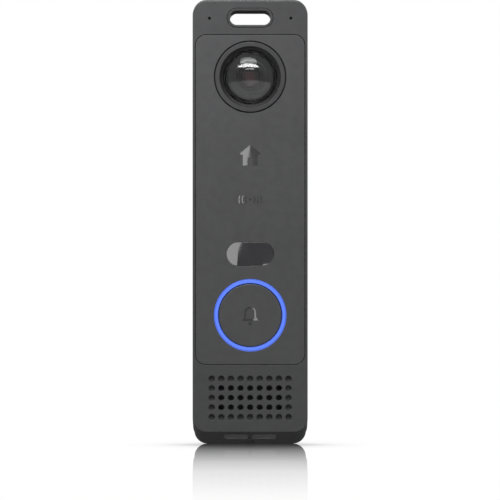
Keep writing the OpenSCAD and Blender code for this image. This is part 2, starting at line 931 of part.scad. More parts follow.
module wall_plate() {
    mid_y = (plate_top_y + plate_low_y) / 2;
    color("#6c6e71") difference() {
        union() {
            translate([0, mid_y, 0]) layer(0, plate_t) round_rect(plate_w, plate_top_y - plate_low_y, 5);
            for (y = hook_ys, side = [-1, 1])
                translate([side * 19.3, 0, 0]) {
                    translate([0, y + hook_t / 2, 0]) block(5, hook_t, plate_t - cut, 6.4);
                    translate([0, y + hook_t / 2 + hook_lift / 2, 0])
                        block(5, hook_t + hook_lift, 5, 6.4);
                }
            translate([0, plate_low_y + 1, 0]) block(12, 2, plate_t - cut, 6.6);
            for (x = [-12, 12])
                translate([x, -40, 0]) block(1.4, 60, plate_t - cut, plate_t + 0.9);
        }
        translate([0, jack_y, 0]) layer(-cut, far) round_rect(26, 28, 3);
        at_each(wall_screws) disc(wall_hole_r, -cut, far);
        at_each(box_screws) disc(wall_hole_r, -cut, far);
        translate([0, 0, lock_z]) rotate([-90, 0, 0]) disc(1.5, -97, -85);
    }
}

module lock_screw() {
    color("#9a9ca0") on_lock() difference() {
        union() {
            disc(2.2, 0.9, 2.7);
            disc(lock_r, 2.7, plate_low_y - lock_face_y - lock_y_gap);
        }
        layer(0, 1.9) circle(r = 1.1, $fn = 6);
    }
}

module tamper_plunger() {
    color("#c9c6b8") translate([tamper_x, tamper_y, 0]) union() {
        disc(1.52, 2.7, 10.9);
        disc(2.6, 9.7, 10.4);
    }
}

module tamper_switch() {
    color("#26272a") translate([tamper_x, tamper_y, 0]) union() {
        block(6, 3.6, 12.3, board_z);
        disc(1, 12, 12.3);
    }
}

module reset_button() {
    color("#c9c6b8") translate([-tamper_x, tamper_y, 0]) union() {
        disc(1.52, 7.6, 11);
        disc(2.6, 9.7, 10.4);
    }
}

// ---------- what is drawn ----------

stood_up() {
    front_housing();
    front_panel();
    slot_liner();
    camera_bezel();
    camera_dome();
    camera_mask();
    lens_barrel();
    lens_front();
    lens_rear();
    lens_holder();
    filter_frame();
    filter_glass();
    image_sensor();
    camera_board();
    camera_screws();
    house_inlay();
    wave_inlay();
    tag_antenna();
    sensor_window();
    sensor_holder();
    infrared_leds();
    light_ring();
    ring_board();
    ring_leds();
    button_cap();
    bell_inlay();
    button_pad();
    button_switch();
    switch_stem();
    speaker_mesh();
    speaker_gasket();
    speaker_frame();
    speaker_surround();
    speaker_cone();
    voice_coil();
    speaker_magnet();
    microphones();
    mic_gaskets();
    main_board();
    board_chips();
    shield_can();
    thermal_pad();
    heat_spreader();
    power_parts();
    board_screws();
    network_socket();
    socket_contacts();
    socket_seal();
    package_window();
    package_camera();
    lamp_window();
    package_lamp();
    rear_housing();
    housing_seal();
    housing_screws();
    wall_plate();
    lock_screw();
    tamper_plunger();
    tamper_switch();
    reset_button();
}
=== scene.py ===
"""Video doorbell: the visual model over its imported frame.

Shapes are drawn lying on their backs in millimetres: x across, y up the face, z the
height above the wall. shape_to_mesh() stands them up in the frame, in metres.
"""
import json
from math import atan, atan2, cos, pi, radians, sin, sqrt, tan

import bmesh
import bpy
from mathutils import Matrix, Vector


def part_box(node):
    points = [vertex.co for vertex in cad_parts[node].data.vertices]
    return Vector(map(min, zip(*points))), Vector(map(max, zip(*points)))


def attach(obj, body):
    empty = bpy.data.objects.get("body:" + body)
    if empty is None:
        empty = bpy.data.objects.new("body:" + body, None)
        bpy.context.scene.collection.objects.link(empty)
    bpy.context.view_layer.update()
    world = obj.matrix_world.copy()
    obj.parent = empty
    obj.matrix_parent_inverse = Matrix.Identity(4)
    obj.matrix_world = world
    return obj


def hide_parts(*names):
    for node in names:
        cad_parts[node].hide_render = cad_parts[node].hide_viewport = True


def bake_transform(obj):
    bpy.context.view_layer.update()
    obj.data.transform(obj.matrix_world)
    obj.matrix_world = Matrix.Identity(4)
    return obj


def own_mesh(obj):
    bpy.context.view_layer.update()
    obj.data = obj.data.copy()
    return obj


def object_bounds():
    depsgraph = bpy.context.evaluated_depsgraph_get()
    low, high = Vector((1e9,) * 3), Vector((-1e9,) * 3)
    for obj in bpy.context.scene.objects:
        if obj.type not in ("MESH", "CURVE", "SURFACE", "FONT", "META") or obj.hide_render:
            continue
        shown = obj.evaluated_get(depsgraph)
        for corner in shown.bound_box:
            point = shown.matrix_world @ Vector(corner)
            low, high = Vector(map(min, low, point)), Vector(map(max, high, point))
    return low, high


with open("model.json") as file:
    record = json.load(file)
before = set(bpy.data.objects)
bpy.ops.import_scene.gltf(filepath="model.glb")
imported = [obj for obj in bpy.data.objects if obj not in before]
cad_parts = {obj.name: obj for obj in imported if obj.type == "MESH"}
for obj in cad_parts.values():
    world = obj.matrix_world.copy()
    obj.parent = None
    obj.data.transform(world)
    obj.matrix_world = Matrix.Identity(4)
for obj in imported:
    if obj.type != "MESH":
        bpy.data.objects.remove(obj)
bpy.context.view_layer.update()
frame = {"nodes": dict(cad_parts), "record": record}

MM = 0.001
STAND = Matrix(((MM, 0, 0, 0), (0, 0, -MM, 0), (0, MM, 0, 0), (0, 0, 0, 1)))


# ---------- sizes, in millimetres ----------

def lying_box(node):
    """Lowest and highest corner of a CAD node, in the lying frame."""
    low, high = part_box(node)
    return Vector((low.x, low.z, -high.y)) / MM, Vector((high.x, high.z, -low.y)) / MM


def middle(node):
    """Centre of a CAD node, in the lying frame."""
    low, high = lying_box(node)
    return (low + high) / 2


def extent(node):
    """Size of a CAD node across, up and deep."""
    low, high = lying_box(node)
    return high - low


def levels(node):
    """Lowest and highest level of a CAD node above the wall."""
    low, high = lying_box(node)
    return low.z, high.z


PANEL_BACK, FRONT = levels("front_panel")
RIM, SPLIT = levels("rear_housing")
FACE_H = 198.5  # height of the front face
BODY_W = extent("front_housing").x
BODY_D = FRONT - RIM
TOP_RISE = 2.5  # how much the top climbs from front to back
BOTTOM_DROP = 7.2  # how much the bottom falls from front to back
CORNER_R = 6.5
WALL = 2.2
INNER = FRONT - 2.4  # inside of the front wall
REAR_STEP = 0.5  # how far the back shell stands in from the front one
TOP_TILT = atan(TOP_RISE / BODY_D)
BOTTOM_TILT = atan(BOTTOM_DROP / BODY_D)

PANEL = extent("front_panel")
PANEL_Y = middle("front_panel").y
PANEL_R = 4.8
SEAM = 0.28  # gap round the panel

SLOT_Y = middle("slot_liner").y
SLOT_W, SLOT_H, LINER_RIM = 18.8, 6.45, 1.15

CAMERA_Y = middle("camera_dome").y
BEZEL_R, BEZEL_MOUTH_R = 16.3, 14.1
BEZEL_TOP = levels("camera_bezel")[1]
DOME_R, DOME_RISE, DOME_T = 12.4, 6.8, 1.5
DOME_BASE = levels("camera_dome")[1] - DOME_RISE
DOME_SPHERE = (DOME_R ** 2 + DOME_RISE ** 2) / (2 * DOME_RISE)
LENS_R = extent("lens_barrel").x / 2

BUTTON_Y = middle("button_cap").y
RING_R, RING_BORE, CAP_R = 16.6, 14.75, 14.4
RING_STEP = 22  # height where the ring's bore widens
CAP_TOP = levels("button_cap")[1]

WINDOW_Y = middle("sensor_window").y
WINDOW_W, WINDOW_H = 21.9, 10.9

GRILLE_PITCH, GRILLE_D, GRILLE_Y = 4.42, 2.9, -83.56
MIC_X, MIC_Y = 18.75, 91.3

PANE_X, PANE_ALONG = 6.4, 9.9  # across, and along the slope from the front edge
PANE_W, PANE_L, PANE_T = 11.2, 9.1, 1.1

HOUSE_Y = middle("house_inlay").y
WAVE_Y = middle("wave_inlay").y
WAVE_ARCS = ((2.0, 40), (3.45, 29), (4.9, 20.5))  # inner radius, half angle
WAVE_STROKE = 0.45

SOCKET_Y, SOCKET_SIZE = middle("network_socket").y, extent("network_socket").x
RECESS, FLOOR, RECESS_TOP_Y = 7.0, 9.0, 85
PLATE = extent("wall_plate")
PLATE_T = 2.4
HOOK_YS = (52, -48)
SCREW_X, SCREW_YS = 20.8, (82, 30, -24, -72)
LOCK_Z = 4.5  # level of the lock screw's axis
LOCK_FACE_Y = -FACE_H / 2 - (FRONT - LOCK_Z) * tan(BOTTOM_TILT)


# ---------- outlines: functions of (inset, height) giving points ----------

def round_points(radius, x=0, y=0, start=0, sweep=360, steps=96):
    """Points on a circle, or on an arc from start through sweep degrees."""
    count = steps if sweep == 360 else steps + 1
    angles = [radians(start + sweep * i / steps) for i in range(count)]
    return [(x + radius * cos(a), y + radius * sin(a)) for a in angles]


def corner_points(corners, radius, steps):
    """Rounded outline through corner centres given anticlockwise from the top right."""
    points = []
    for quarter, (x, y) in enumerate(corners):
        points += round_points(radius, x, y, 90 * quarter, 90, steps)
    return points


def circle(r, x=0, y=0, steps=96):
    return lambda inset, h: round_points(r - inset, x, y, steps=steps)


def turned(y, steps=128):
    """Outline for a turned piece, whose profile gives radius and height."""
    return lambda radius, h: round_points(radius, 0, y, steps=steps)


def pill(w, h, x=0, y=0, steps=24):
    """Slot-shaped outline with half-round ends."""
    def outline(inset, level):
        reach, r = (w - h) / 2, h / 2 - inset
        right = round_points(r, x + reach, y, -90, 180, steps)
        return right + round_points(r, x - reach, y, 90, 180, steps)
    return outline


def rect(w, h, r, x=0, y=0, steps=8):
    """Rectangle with rounded corners."""
    def outline(inset, level):
        a, b, c = w / 2 - r, h / 2 - r, max(r - inset, 0.02)
        grow = r - inset - c
        a, b = a + grow, b + grow
        return corner_points([(x + a, y + b), (x - a, y + b), (x - a, y - b), (x + a, y - b)], c, steps)
    return outline


def body(inset, level, top=None):
    """Outline of the whole body, with its sloped top and bottom."""
    r = CORNER_R - inset
    x = BODY_W / 2 - CORNER_R
    high = FACE_H / 2 + (FRONT - level) * tan(TOP_TILT) - inset / cos(TOP_TILT) - r
    low = -FACE_H / 2 - (FRONT - level) * tan(BOTTOM_TILT) + inset / cos(BOTTOM_TILT) + r
    if top is not None:
        high = top - r
    return corner_points([(x, high), (-x, high), (-x, low), (x, low)], r, 10)


def drawn(points):
    """Fixed outline from points."""
    return lambda inset, level: points


# ---------- profiles: lists of (inset, height) ----------

def rounded(points, steps=4):
    """Profile whose third numbers, where given, round that corner."""
    out, n = [], len(points)
    for i, point in enumerate(points):
        if len(point) < 3:
            out.append(point)
            continue
        here = Vector(point[:2])
        back = (Vector(points[i - 1][:2]) - here).normalized()
        ahead = (Vector(points[(i + 1) % n][:2]) - here).normalized()
        half = back.angle(ahead) / 2
        radius = point[2]
        centre = here + (back + ahead).normalized() * (radius / sin(half))
        start = here + back * (radius / tan(half)) - centre
        end = here + ahead * (radius / tan(half)) - centre
        first = atan2(start.y, start.x)
        turn = (atan2(end.y, end.x) - first + pi) % (2 * pi) - pi
        for k in range(steps + 1):
            a = first + turn * k / steps
            out.append((centre.x + radius * cos(a), centre.y + radius * sin(a)))
    return out


def cap_arc(sphere_r, centre_h, from_r, steps=22, pole=0.04):
    """Profile (radius, height) of a ball cap, from its edge to its pole."""
    edge, tip = atan2(from_r, sqrt(sphere_r ** 2 - from_r ** 2)), pole / sphere_r
    angles = [edge + (tip - edge) * k / steps for k in range(steps + 1)]
    return [(sphere_r * sin(a), centre_h + sphere_r * cos(a)) for a in angles]


# ---------- shapes: (points, faces) in the lying frame ----------

def shell(outline, profile, closed=False):
    """Outline carried along a profile, as one closed skin."""
    rings = [[(x, y, h) for x, y in outline(inset, h)] for inset, h in profile]
    n, count = len(rings[0]), len(rings)
    faces = []
    for i in range(count if closed else count - 1):
        a, b = i * n, (i + 1) % count * n
        faces += [(a + j, a + (j + 1) % n, b + (j + 1) % n, b + j) for j in range(n)]
    if not closed:
        faces += [tuple(range(n)), tuple(range((count - 1) * n, count * n))]
    return [point for ring in rings for point in ring], faces


def collar(outline, points, steps=4):
    """Outline carried round a closed profile with rounded corners."""
    return shell(outline, rounded(points, steps), closed=True)


def moved(shape, matrix):
    points, faces = shape
    return [tuple(matrix @ Vector(p)) for p in points], faces


def slab(outline, low, high, edge=0.1, steps=2):
    """Outline raised between two levels, with both rims rounded."""
    middle_inset = 3 * edge
    return shell(outline, rounded([(middle_inset, low), (0, low, edge), (0, high, edge),
                                   (middle_inset, high)], steps))


def box(w, h, low, high, x=0, y=0, edge=0.1):
    return slab(rect(w, h, 2 * edge, x, y, 2), low, high, edge)


def hole(outline, floor, face, lip=0.15, steps=3):
    """Cutter from level floor out through a face, with a rounded mouth there."""
    way = 1 if face > floor else -1
    profile = [(0, floor)]
    for k in range(steps + 1):
        a = radians(80 * k / steps)
        profile.append((lip * (cos(a) - 1), face - way * lip * (1 - sin(a))))
    profile.append((-lip - 0.05, face + way))
    return shell(outline, profile)


def on_bottom(x, along=PANE_ALONG):
    """Frame on the sloped bottom: x across, y along the slope to the wall, z inwards."""
    place = Matrix.Translation((x, -FACE_H / 2, FRONT))
    slope = Matrix.Rotation(-pi / 2 - BOTTOM_TILT, 4, "X")
    return place @ slope @ Matrix.Translation((0, along, 0))


ON_LOCK = Matrix.Translation((0, LOCK_FACE_Y, LOCK_Z)) @ Matrix.Rotation(-pi / 2, 4, "X")


# ---------- shapes to pieces ----------

def shape_to_mesh(name, *shapes):
    """One mesh from closed shapes, doubles merged and faces turned outwards."""
    bm = bmesh.new()
    for points, faces in shapes:
        verts = [bm.verts.new(STAND @ Vector(p)) for p in points]
        for face in faces:
            bm.faces.new([verts[i] for i in face])
    bmesh.ops.remove_doubles(bm, verts=bm.verts, dist=1e-7)
    bmesh.ops.dissolve_degenerate(bm, edges=bm.edges, dist=1e-8)
    bmesh.ops.recalc_face_normals(bm, faces=bm.faces)
    mesh = bpy.data.meshes.new(name)
    bm.to_mesh(mesh)
    bm.free()
    obj = bpy.data.objects.new(name, mesh)
    bpy.context.scene.collection.objects.link(obj)
    return obj


def settle(obj):
    """The evaluated mesh becomes the object's own, and its modifiers go."""
    graph = bpy.context.evaluated_depsgraph_get()
    mesh = bpy.data.meshes.new_from_object(obj.evaluated_get(graph))
    obj.modifiers.clear()
    obj.data = mesh
    return obj


def carve(obj, *cutters):
    """Cuts closed shapes, or one finished cutter object, out of a piece."""
    first = cutters[0]
    tool = first if isinstance(first, bpy.types.Object) else shape_to_mesh("cutter", *cutters)
    cut = obj.modifiers.new("cut", "BOOLEAN")
    cut.operation, cut.solver, cut.object = "DIFFERENCE", "EXACT", tool
    settle(obj)
    bpy.data.objects.remove(tool)
    return obj


CREASE = 38  # degrees; sharper edges are shaded hard


def mark_rims(mesh):
    """Writes the attribute rim: 1 along rounded outer edges, 0 elsewhere."""
    bm = bmesh.new()
    bm.from_mesh(mesh)
    layer = bm.verts.layers.float.new("rim")
    for vert in bm.verts:
        bends = [e.calc_face_angle_signed(0) for e in vert.link_edges if len(e.link_faces) == 2]
        sharpest = max(bends, default=0)
        vert[layer] = 1.0 if radians(14) < sharpest < radians(42) else 0.0
    bm.to_mesh(mesh)
    bm.free()


def finish_piece(obj, material, body_name, node, even=True):
    """Shading, material, place in the frame and the CAD nodes it stands for."""
    mark_rims(obj.data)
    for face in obj.data.polygons:
        face.use_smooth = True
    obj.data.set_sharp_from_angle(angle=radians(CREASE))
    obj.data.materials.clear()
    obj.data.materials.append(material)
    if even:
        shading = obj.modifiers.new("even shading", "WEIGHTED_NORMAL")
        shading.keep_sharp = True
    if body_name:
        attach(obj, body_name)
    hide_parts(node)
    return obj


def piece(node, material, body_name, *shapes, **shading):
    return finish_piece(shape_to_mesh(node, *shapes), material, body_name, node, **shading)


# ---------- geometry nodes: what repeats ----------

def repeat_tree(name, sockets, scatter):
    """Tree that puts its Piece where scatter says, then realizes and paints the copies."""
    tree = bpy.data.node_groups.new(name, "GeometryNodeTree")
    tree.interface.new_socket("Spots", in_out="INPUT", socket_type="NodeSocketGeometry")
    tree.interface.new_socket("Piece", in_out="INPUT", socket_type="NodeSocketObject")
    tree.interface.new_socket("Finish", in_out="INPUT", socket_type="NodeSocketMaterial")
    for label, kind in sockets:
        tree.interface.new_socket(label, in_out="INPUT", socket_type=kind)
    tree.interface.new_socket("Copies", in_out="OUTPUT", socket_type="NodeSocketGeometry")
    add, link = tree.nodes.new, tree.links.new
    source, sink = add("NodeGroupInput"), add("NodeGroupOutput")
    spots, turn = scatter(tree, source)
    seed = add("GeometryNodeObjectInfo")
    link(source.outputs["Piece"], seed.inputs["Object"])
    copies = add("GeometryNodeInstanceOnPoints")
    link(spots, copies.inputs["Points"])
    link(seed.outputs["Geometry"], copies.inputs["Instance"])
    if turn is not None:
        link(turn, copies.inputs["Rotation"])
    solid, paint = add("GeometryNodeRealizeInstances"), add("GeometryNodeSetMaterial")
    link(copies.outputs["Instances"], solid.inputs["Geometry"])
    link(solid.outputs["Geometry"], paint.inputs["Geometry"])
    link(source.outputs["Finish"], paint.inputs["Material"])
    link(paint.outputs["Geometry"], sink.inputs["Copies"])
    return tree


def stand_points(tree, points):
    """Turns points from the XY plane up into the XZ plane."""
    turn = tree.nodes.new("GeometryNodeTransform")
    turn.inputs["Rotation"].default_value = (pi / 2, 0, 0)
    tree.links.new(points, turn.inputs["Geometry"])
    return turn.outputs["Geometry"]


def grid_scatter(tree, source):
    """A flat grid of Columns by Rows, Pitch apart."""
    add, link = tree.nodes.new, tree.links.new
    grid = add("GeometryNodeMeshGrid")
    for count, side in (("Columns", "X"), ("Rows", "Y")):
        less, span = add("ShaderNodeMath"), add("ShaderNodeMath")
        less.operation, span.operation = "SUBTRACT", "MULTIPLY"
        less.inputs[1].default_value = 1
        link(source.outputs[count], less.inputs[0])
        link(less.outputs[0], span.inputs[0])
        link(source.outputs["Pitch"], span.inputs[1])
        link(span.outputs[0], grid.inputs[f"Size {side}"])
        link(source.outputs[count], grid.inputs[f"Vertices {side}"])
    return stand_points(tree, grid.outputs["Mesh"]), None


def wheel_scatter(tree, source):
    """Count spots on a circle of Radius, each turned to face outwards."""
    add, link = tree.nodes.new, tree.links.new
    wheel = add("GeometryNodeMeshCircle")
    link(source.outputs["Count"], wheel.inputs["Vertices"])
    link(source.outputs["Radius"], wheel.inputs["Radius"])
    index, share, angle, turn = (add("GeometryNodeInputIndex"), add("ShaderNodeMath"),
                                 add("ShaderNodeMath"), add("ShaderNodeCombineXYZ"))
    share.operation, angle.operation = "DIVIDE", "MULTIPLY"
    link(index.outputs[0], share.inputs[0])
    link(source.outputs["Count"], share.inputs[1])
    link(share.outputs[0], angle.inputs[0])
    angle.inputs[1].default_value = -2 * pi
    link(angle.outputs[0], turn.inputs["Y"])
    return stand_points(tree, wheel.outputs["Mesh"]), turn.outputs[0]


def spot_scatter(tree, source):
    """The vertices of the modified mesh itself."""
    return source.outputs["Spots"], None


GRID_TREE = repeat_tree("grid of copies", [("Columns", "NodeSocketInt"), ("Rows", "NodeSocketInt"),
                                           ("Pitch", "NodeSocketFloat")], grid_scatter)
WHEEL_TREE = repeat_tree("wheel of copies", [("Count", "NodeSocketInt"),
                                             ("Radius", "NodeSocketFloat")], wheel_scatter)
SPOT_TREE = repeat_tree("copies at spots", [], spot_scatter)


def repeated(name, tree, seed, at=(0, 0), spots=(), **values):
    """Plain mesh of seed repeated by a tree, centred at a point of the face."""
    mesh = bpy.data.meshes.new(name)
    mesh.from_pydata([STAND @ Vector((x, y, 0)) for x, y in spots], [], [])
    obj = bpy.data.objects.new(name, mesh)
    bpy.context.scene.collection.objects.link(obj)
    maker = obj.modifiers.new("copies", "NODES")
    maker.node_group = tree
    values["Piece"] = seed
    for item in tree.interface.items_tree:
        if item.in_out == "INPUT" and item.name in values:
            maker[item.identifier] = values[item.name]
    settle(obj)
    bpy.data.objects.remove(seed)
    obj.data.transform(Matrix.Translation((at[0] * MM, 0, at[1] * MM)))
    return obj


# ---------- shader groups: effects that several materials share ----------

def shader_group(name, inputs, outputs):
    tree = bpy.data.node_groups.new(name, "ShaderNodeTree")
    for label, kind, value in inputs:
        socket = tree.interface.new_socket(label, in_out="INPUT", socket_type=f"NodeSocket{kind}")
        if value is not None:
            socket.default_value = value
    for label, kind in outputs:
        tree.interface.new_socket(label, in_out="OUTPUT", socket_type=f"NodeSocket{kind}")
    return tree, tree.nodes.new("NodeGroupInput"), tree.nodes.new("NodeGroupOutput")


def math_node(tree, operation, *values, clamp=False):
    node = tree.nodes.new("ShaderNodeMath")
    node.operation, node.use_clamp = operation, clamp
    for socket, value in zip(node.inputs, values):
        if isinstance(value, (int, float)):
            socket.default_value = value
        else:
            tree.links.new(value, socket)
    return node.outputs[0]


def texture(tree, kind, vector, scale, **settings):
    node = tree.nodes.new(f"ShaderNodeTex{kind}")
    tree.links.new(vector, node.inputs["Vector"])
    if isinstance(scale, (int, float)):
        node.inputs["Scale"].default_value = scale
    else:
        tree.links.new(scale, node.inputs["Scale"])
    for label, value in settings.items():
        if label in node.inputs:
            node.inputs[label].default_value = value
        else:
            setattr(node, label, value)
    return node


def remap(tree, value, low, high, to_low=0.0, to_high=1.0):
    node = tree.nodes.new("ShaderNodeMapRange")
    node.interpolation_type = "SMOOTHSTEP"
    tree.links.new(value, node.inputs["Value"])
    for label, number in (("From Min", low), ("From Max", high), ("To Min", to_low), ("To Max", to_high)):
        node.inputs[label].default_value = number
    return node.outputs["Result"]


def stretched(tree, vector, scale):
    node = tree.nodes.new("ShaderNodeMapping")
    tree.links.new(vector, node.inputs["Vector"])
    node.inputs["Scale"].default_value = scale
    return node.outputs["Vector"]


def moulded_grain_group():
    """Fine spark-eroded mould texture with a slow drift of shade and gloss."""
    tree, given, out = shader_group(
        "moulded grain", [("Place", "Vector", None), ("Grain", "Float", 3200.0)],
        [("Height", "Float"), ("Shade", "Float"), ("Gloss", "Float")])
    place, grain = given.outputs["Place"], given.outputs["Grain"]
    fine = texture(tree, "Noise", place, grain, Detail=3.0, Roughness=0.6)
    cells = texture(tree, "Voronoi", place, grain, feature="SMOOTH_F1")
    slow = texture(tree, "Noise", place, 38.0, Detail=4.0, Roughness=0.55)
    patchy = texture(tree, "Noise", place, 260.0, Detail=3.0)
    height = math_node(tree, "ADD", math_node(tree, "MULTIPLY", fine.outputs["Fac"], 0.6),
                       math_node(tree, "MULTIPLY", cells.outputs["Distance"], 0.4))
    tree.links.new(height, out.inputs["Height"])
    shade = math_node(tree, "ADD", math_node(tree, "MULTIPLY", slow.outputs["Fac"], 0.7),
                      math_node(tree, "MULTIPLY", fine.outputs["Fac"], 0.3))
    tree.links.new(remap(tree, shade, 0.3, 0.7), out.inputs["Shade"])
    tree.links.new(remap(tree, patchy.outputs["Fac"], 0.35, 0.65), out.inputs["Gloss"])
    return tree


def edge_wear_group():
    """Rubbed spots along the rounded outer edges."""
    tree, given, out = shader_group(
        "edge wear", [("Place", "Vector", None), ("Rim", "Float", 0.0), ("Amount", "Float", 0.5)],
        [("Worn", "Float")])
    rubs = texture(tree, "Noise", given.outputs["Place"], 420.0, Detail=5.0, Roughness=0.65)
    broad = texture(tree, "Noise", given.outputs["Place"], 60.0, Detail=2.0)
    spots = math_node(tree, "MULTIPLY", remap(tree, rubs.outputs["Fac"], 0.42, 0.62),
                      remap(tree, broad.outputs["Fac"], 0.38, 0.62))
    rim = remap(tree, given.outputs["Rim"], 0.25, 0.9)
    worn = math_node(tree, "MULTIPLY", math_node(tree, "MULTIPLY", spots, rim), given.outputs["Amount"])
    tree.links.new(worn, out.inputs["Worn"])
    return tree


def settled_dust_group():
    """Dust specks, thicker on faces that look up."""
    tree, given, out = shader_group(
        "settled dust", [("Place", "Vector", None), ("Facing", "Vector", None), ("Amount", "Float", 0.2)],
        [("Dust", "Float")])
    split = tree.nodes.new("ShaderNodeSeparateXYZ")
    tree.links.new(given.outputs["Facing"], split.inputs[0])
    up = remap(tree, split.outputs["Z"], 0.1, 0.95, 0.12, 1.0)
    specks = texture(tree, "Voronoi", given.outputs["Place"], 900.0)
    clouds = texture(tree, "Noise", given.outputs["Place"], 90.0, Detail=5.0)
    film = math_node(tree, "ADD", remap(tree, specks.outputs["Distance"], 0.16, 0.05, 0.0, 0.6),
                     remap(tree, clouds.outputs["Fac"], 0.45, 0.75, 0.0, 0.5))
    dust = math_node(tree, "MULTIPLY", math_node(tree, "MULTIPLY", film, up), given.outputs["Amount"],
                     clamp=True)
    tree.links.new(dust, out.inputs["Dust"])
    return tree


def wiped_gloss_group():
    """Smears left by wiping a polished face."""
    tree, given, out = shader_group(
        "wiped gloss", [("Place", "Vector", None), ("Haze", "Float", 0.1)], [("Haze", "Float")])
    smear = texture(tree, "Noise", stretched(tree, given.outputs["Place"], (1, 1, 0.35)), 130.0,
                    Detail=4.0, Distortion=1.2)
    haze = math_node(tree, "MULTIPLY", remap(tree, smear.outputs["Fac"], 0.4, 0.72), given.outputs["Haze"])
    tree.links.new(haze, out.inputs["Haze"])
    return tree


def drawn_metal_group():
    """Fine parallel lines and a cloudy tarnish."""
    tree, given, out = shader_group(
        "drawn metal", [("Place", "Vector", None), ("Stretch", "Vector", (1.0, 1.0, 12.0))],
        [("Lines", "Float"), ("Tarnish", "Float")])
    scale = tree.nodes.new("ShaderNodeVectorMath")
    scale.operation = "MULTIPLY"
    tree.links.new(given.outputs["Place"], scale.inputs[0])
    tree.links.new(given.outputs["Stretch"], scale.inputs[1])
    lines = texture(tree, "Noise", scale.outputs[0], 1500.0, Detail=3.0)
    cloud = texture(tree, "Noise", given.outputs["Place"], 240.0, Detail=4.0)
    tree.links.new(lines.outputs["Fac"], out.inputs["Lines"])
    tree.links.new(remap(tree, cloud.outputs["Fac"], 0.4, 0.7), out.inputs["Tarnish"])
    return tree


def weave_group():
    """Over and under threads, square to the face."""
    tree, given, out = shader_group(
        "plain weave", [("Place", "Vector", None), ("Threads", "Float", 4000.0)],
        [("Height", "Float"), ("Gap", "Float")])
    split = tree.nodes.new("ShaderNodeSeparateXYZ")
    tree.links.new(given.outputs["Place"], split.inputs[0])
    waves = []
    for axis in ("X", "Z"):
        turns = math_node(tree, "MULTIPLY", split.outputs[axis], given.outputs["Threads"])
        waves.append(math_node(tree, "ABSOLUTE", math_node(tree, "SINE", turns)))
    height = math_node(tree, "MAXIMUM", *waves)
    tree.links.new(height, out.inputs["Height"])
    tree.links.new(remap(tree, height, 0.75, 0.5), out.inputs["Gap"])
    return tree


def circuit_group():
    """Copper tracks, pads and printed marks under a solder mask."""
    tree, given, out = shader_group(
        "circuit tracks", [("Place", "Vector", None), ("Scale", "Float", 260.0)],
        [("Track", "Float"), ("Pad", "Float"), ("Print", "Float")])
    flat = stretched(tree, given.outputs["Place"], (1.0, 0.0, 1.0))
    cells = texture(tree, "Voronoi", flat, given.outputs["Scale"], distance="MANHATTAN",
                    feature="DISTANCE_TO_EDGE")
    pads = texture(tree, "Voronoi", flat, math_node(tree, "MULTIPLY", given.outputs["Scale"], 2.6),
                   distance="CHEBYCHEV", Randomness=0.55)
    marks = texture(tree, "Brick", flat, math_node(tree, "MULTIPLY", given.outputs["Scale"], 0.8))
    tree.links.new(remap(tree, cells.outputs["Distance"], 0.07, 0.03), out.inputs["Track"])
    tree.links.new(remap(tree, pads.outputs["Distance"], 0.14, 0.11), out.inputs["Pad"])
    tree.links.new(remap(tree, marks.outputs["Fac"], 0.4, 0.6, 0.0, 0.35), out.inputs["Print"])
    return tree


GRAIN, WEAR, DUST = moulded_grain_group(), edge_wear_group(), settled_dust_group()
WIPED, DRAWN, WEAVE, CIRCUIT = wiped_gloss_group(), drawn_metal_group(), weave_group(), circuit_group()


# ---------- materials ----------

class Finish:
    """A material with its Principled shader and short ways to wire it."""

    def __init__(self, name, roughness=0.5, **constants):
        self.material = bpy.data.materials.new(name)
        self.material.use_nodes = True
        self.tree = self.material.node_tree
        self.tree.nodes.clear()
        self.shader = self.tree.nodes.new("ShaderNodeBsdfPrincipled")
        self.output = self.tree.nodes.new("ShaderNodeOutputMaterial")
        self.link(self.shader.outputs[0], self.output.inputs["Surface"])
        self.place = self.tree.nodes.new("ShaderNodeTexCoord").outputs["Object"]
        self.set("Roughness", roughness)
        for label, value in constants.items():
            self.set(label.replace("_", " "), value)

    def link(self, a, b):
        self.tree.links.new(a, b)

    def set(self, label, value):
        self.shader.inputs[label].default_value = value

    def feed(self, label, value):
        self.link(value, self.shader.inputs[label])

    def group(self, tree, **values):
        node = self.tree.nodes.new("ShaderNodeGroup")
        node.node_tree = tree
        self.link(self.place, node.inputs["Place"])
        for label, value in values.items():
            if isinstance(value, (int, float, tuple)):
                node.inputs[label].default_value = value
            else:
                self.link(value, node.inputs[label])
        return node.outputs

    def mix(self, fac, a, b):
        node = self.tree.nodes.new("ShaderNodeMix")
        node.data_type = "RGBA"
        for index, value in ((0, fac), (6, a), (7, b)):
            if isinstance(value, (int, float)):
                node.inputs[index].default_value = value
            elif isinstance(value, tuple):
                node.inputs[index].default_value = (*value, 1.0)
            else:
                self.link(value, node.inputs[index])
        return node.outputs[2]

    def span(self, value, low, high):
        return math_node(self.tree, "MULTIPLY_ADD", value, high - low, low)

    def bump(self, height, distance, strength=1.0):
        node = self.tree.nodes.new("ShaderNodeBump")
        node.inputs["Strength"].default_value = strength
        node.inputs["Distance"].default_value = distance
        self.link(height, node.inputs["Height"])
        self.feed("Normal", node.outputs["Normal"])

    def rim(self):
        node = self.tree.nodes.new("ShaderNodeAttribute")
        node.attribute_name = "rim"
        return node.outputs["Fac"]

    def facing(self):
        return self.tree.nodes.new("ShaderNodeNewGeometry").outputs["Normal"]


def scaled(colour, k):
    return tuple(min(1.0, c * k) for c in colour)


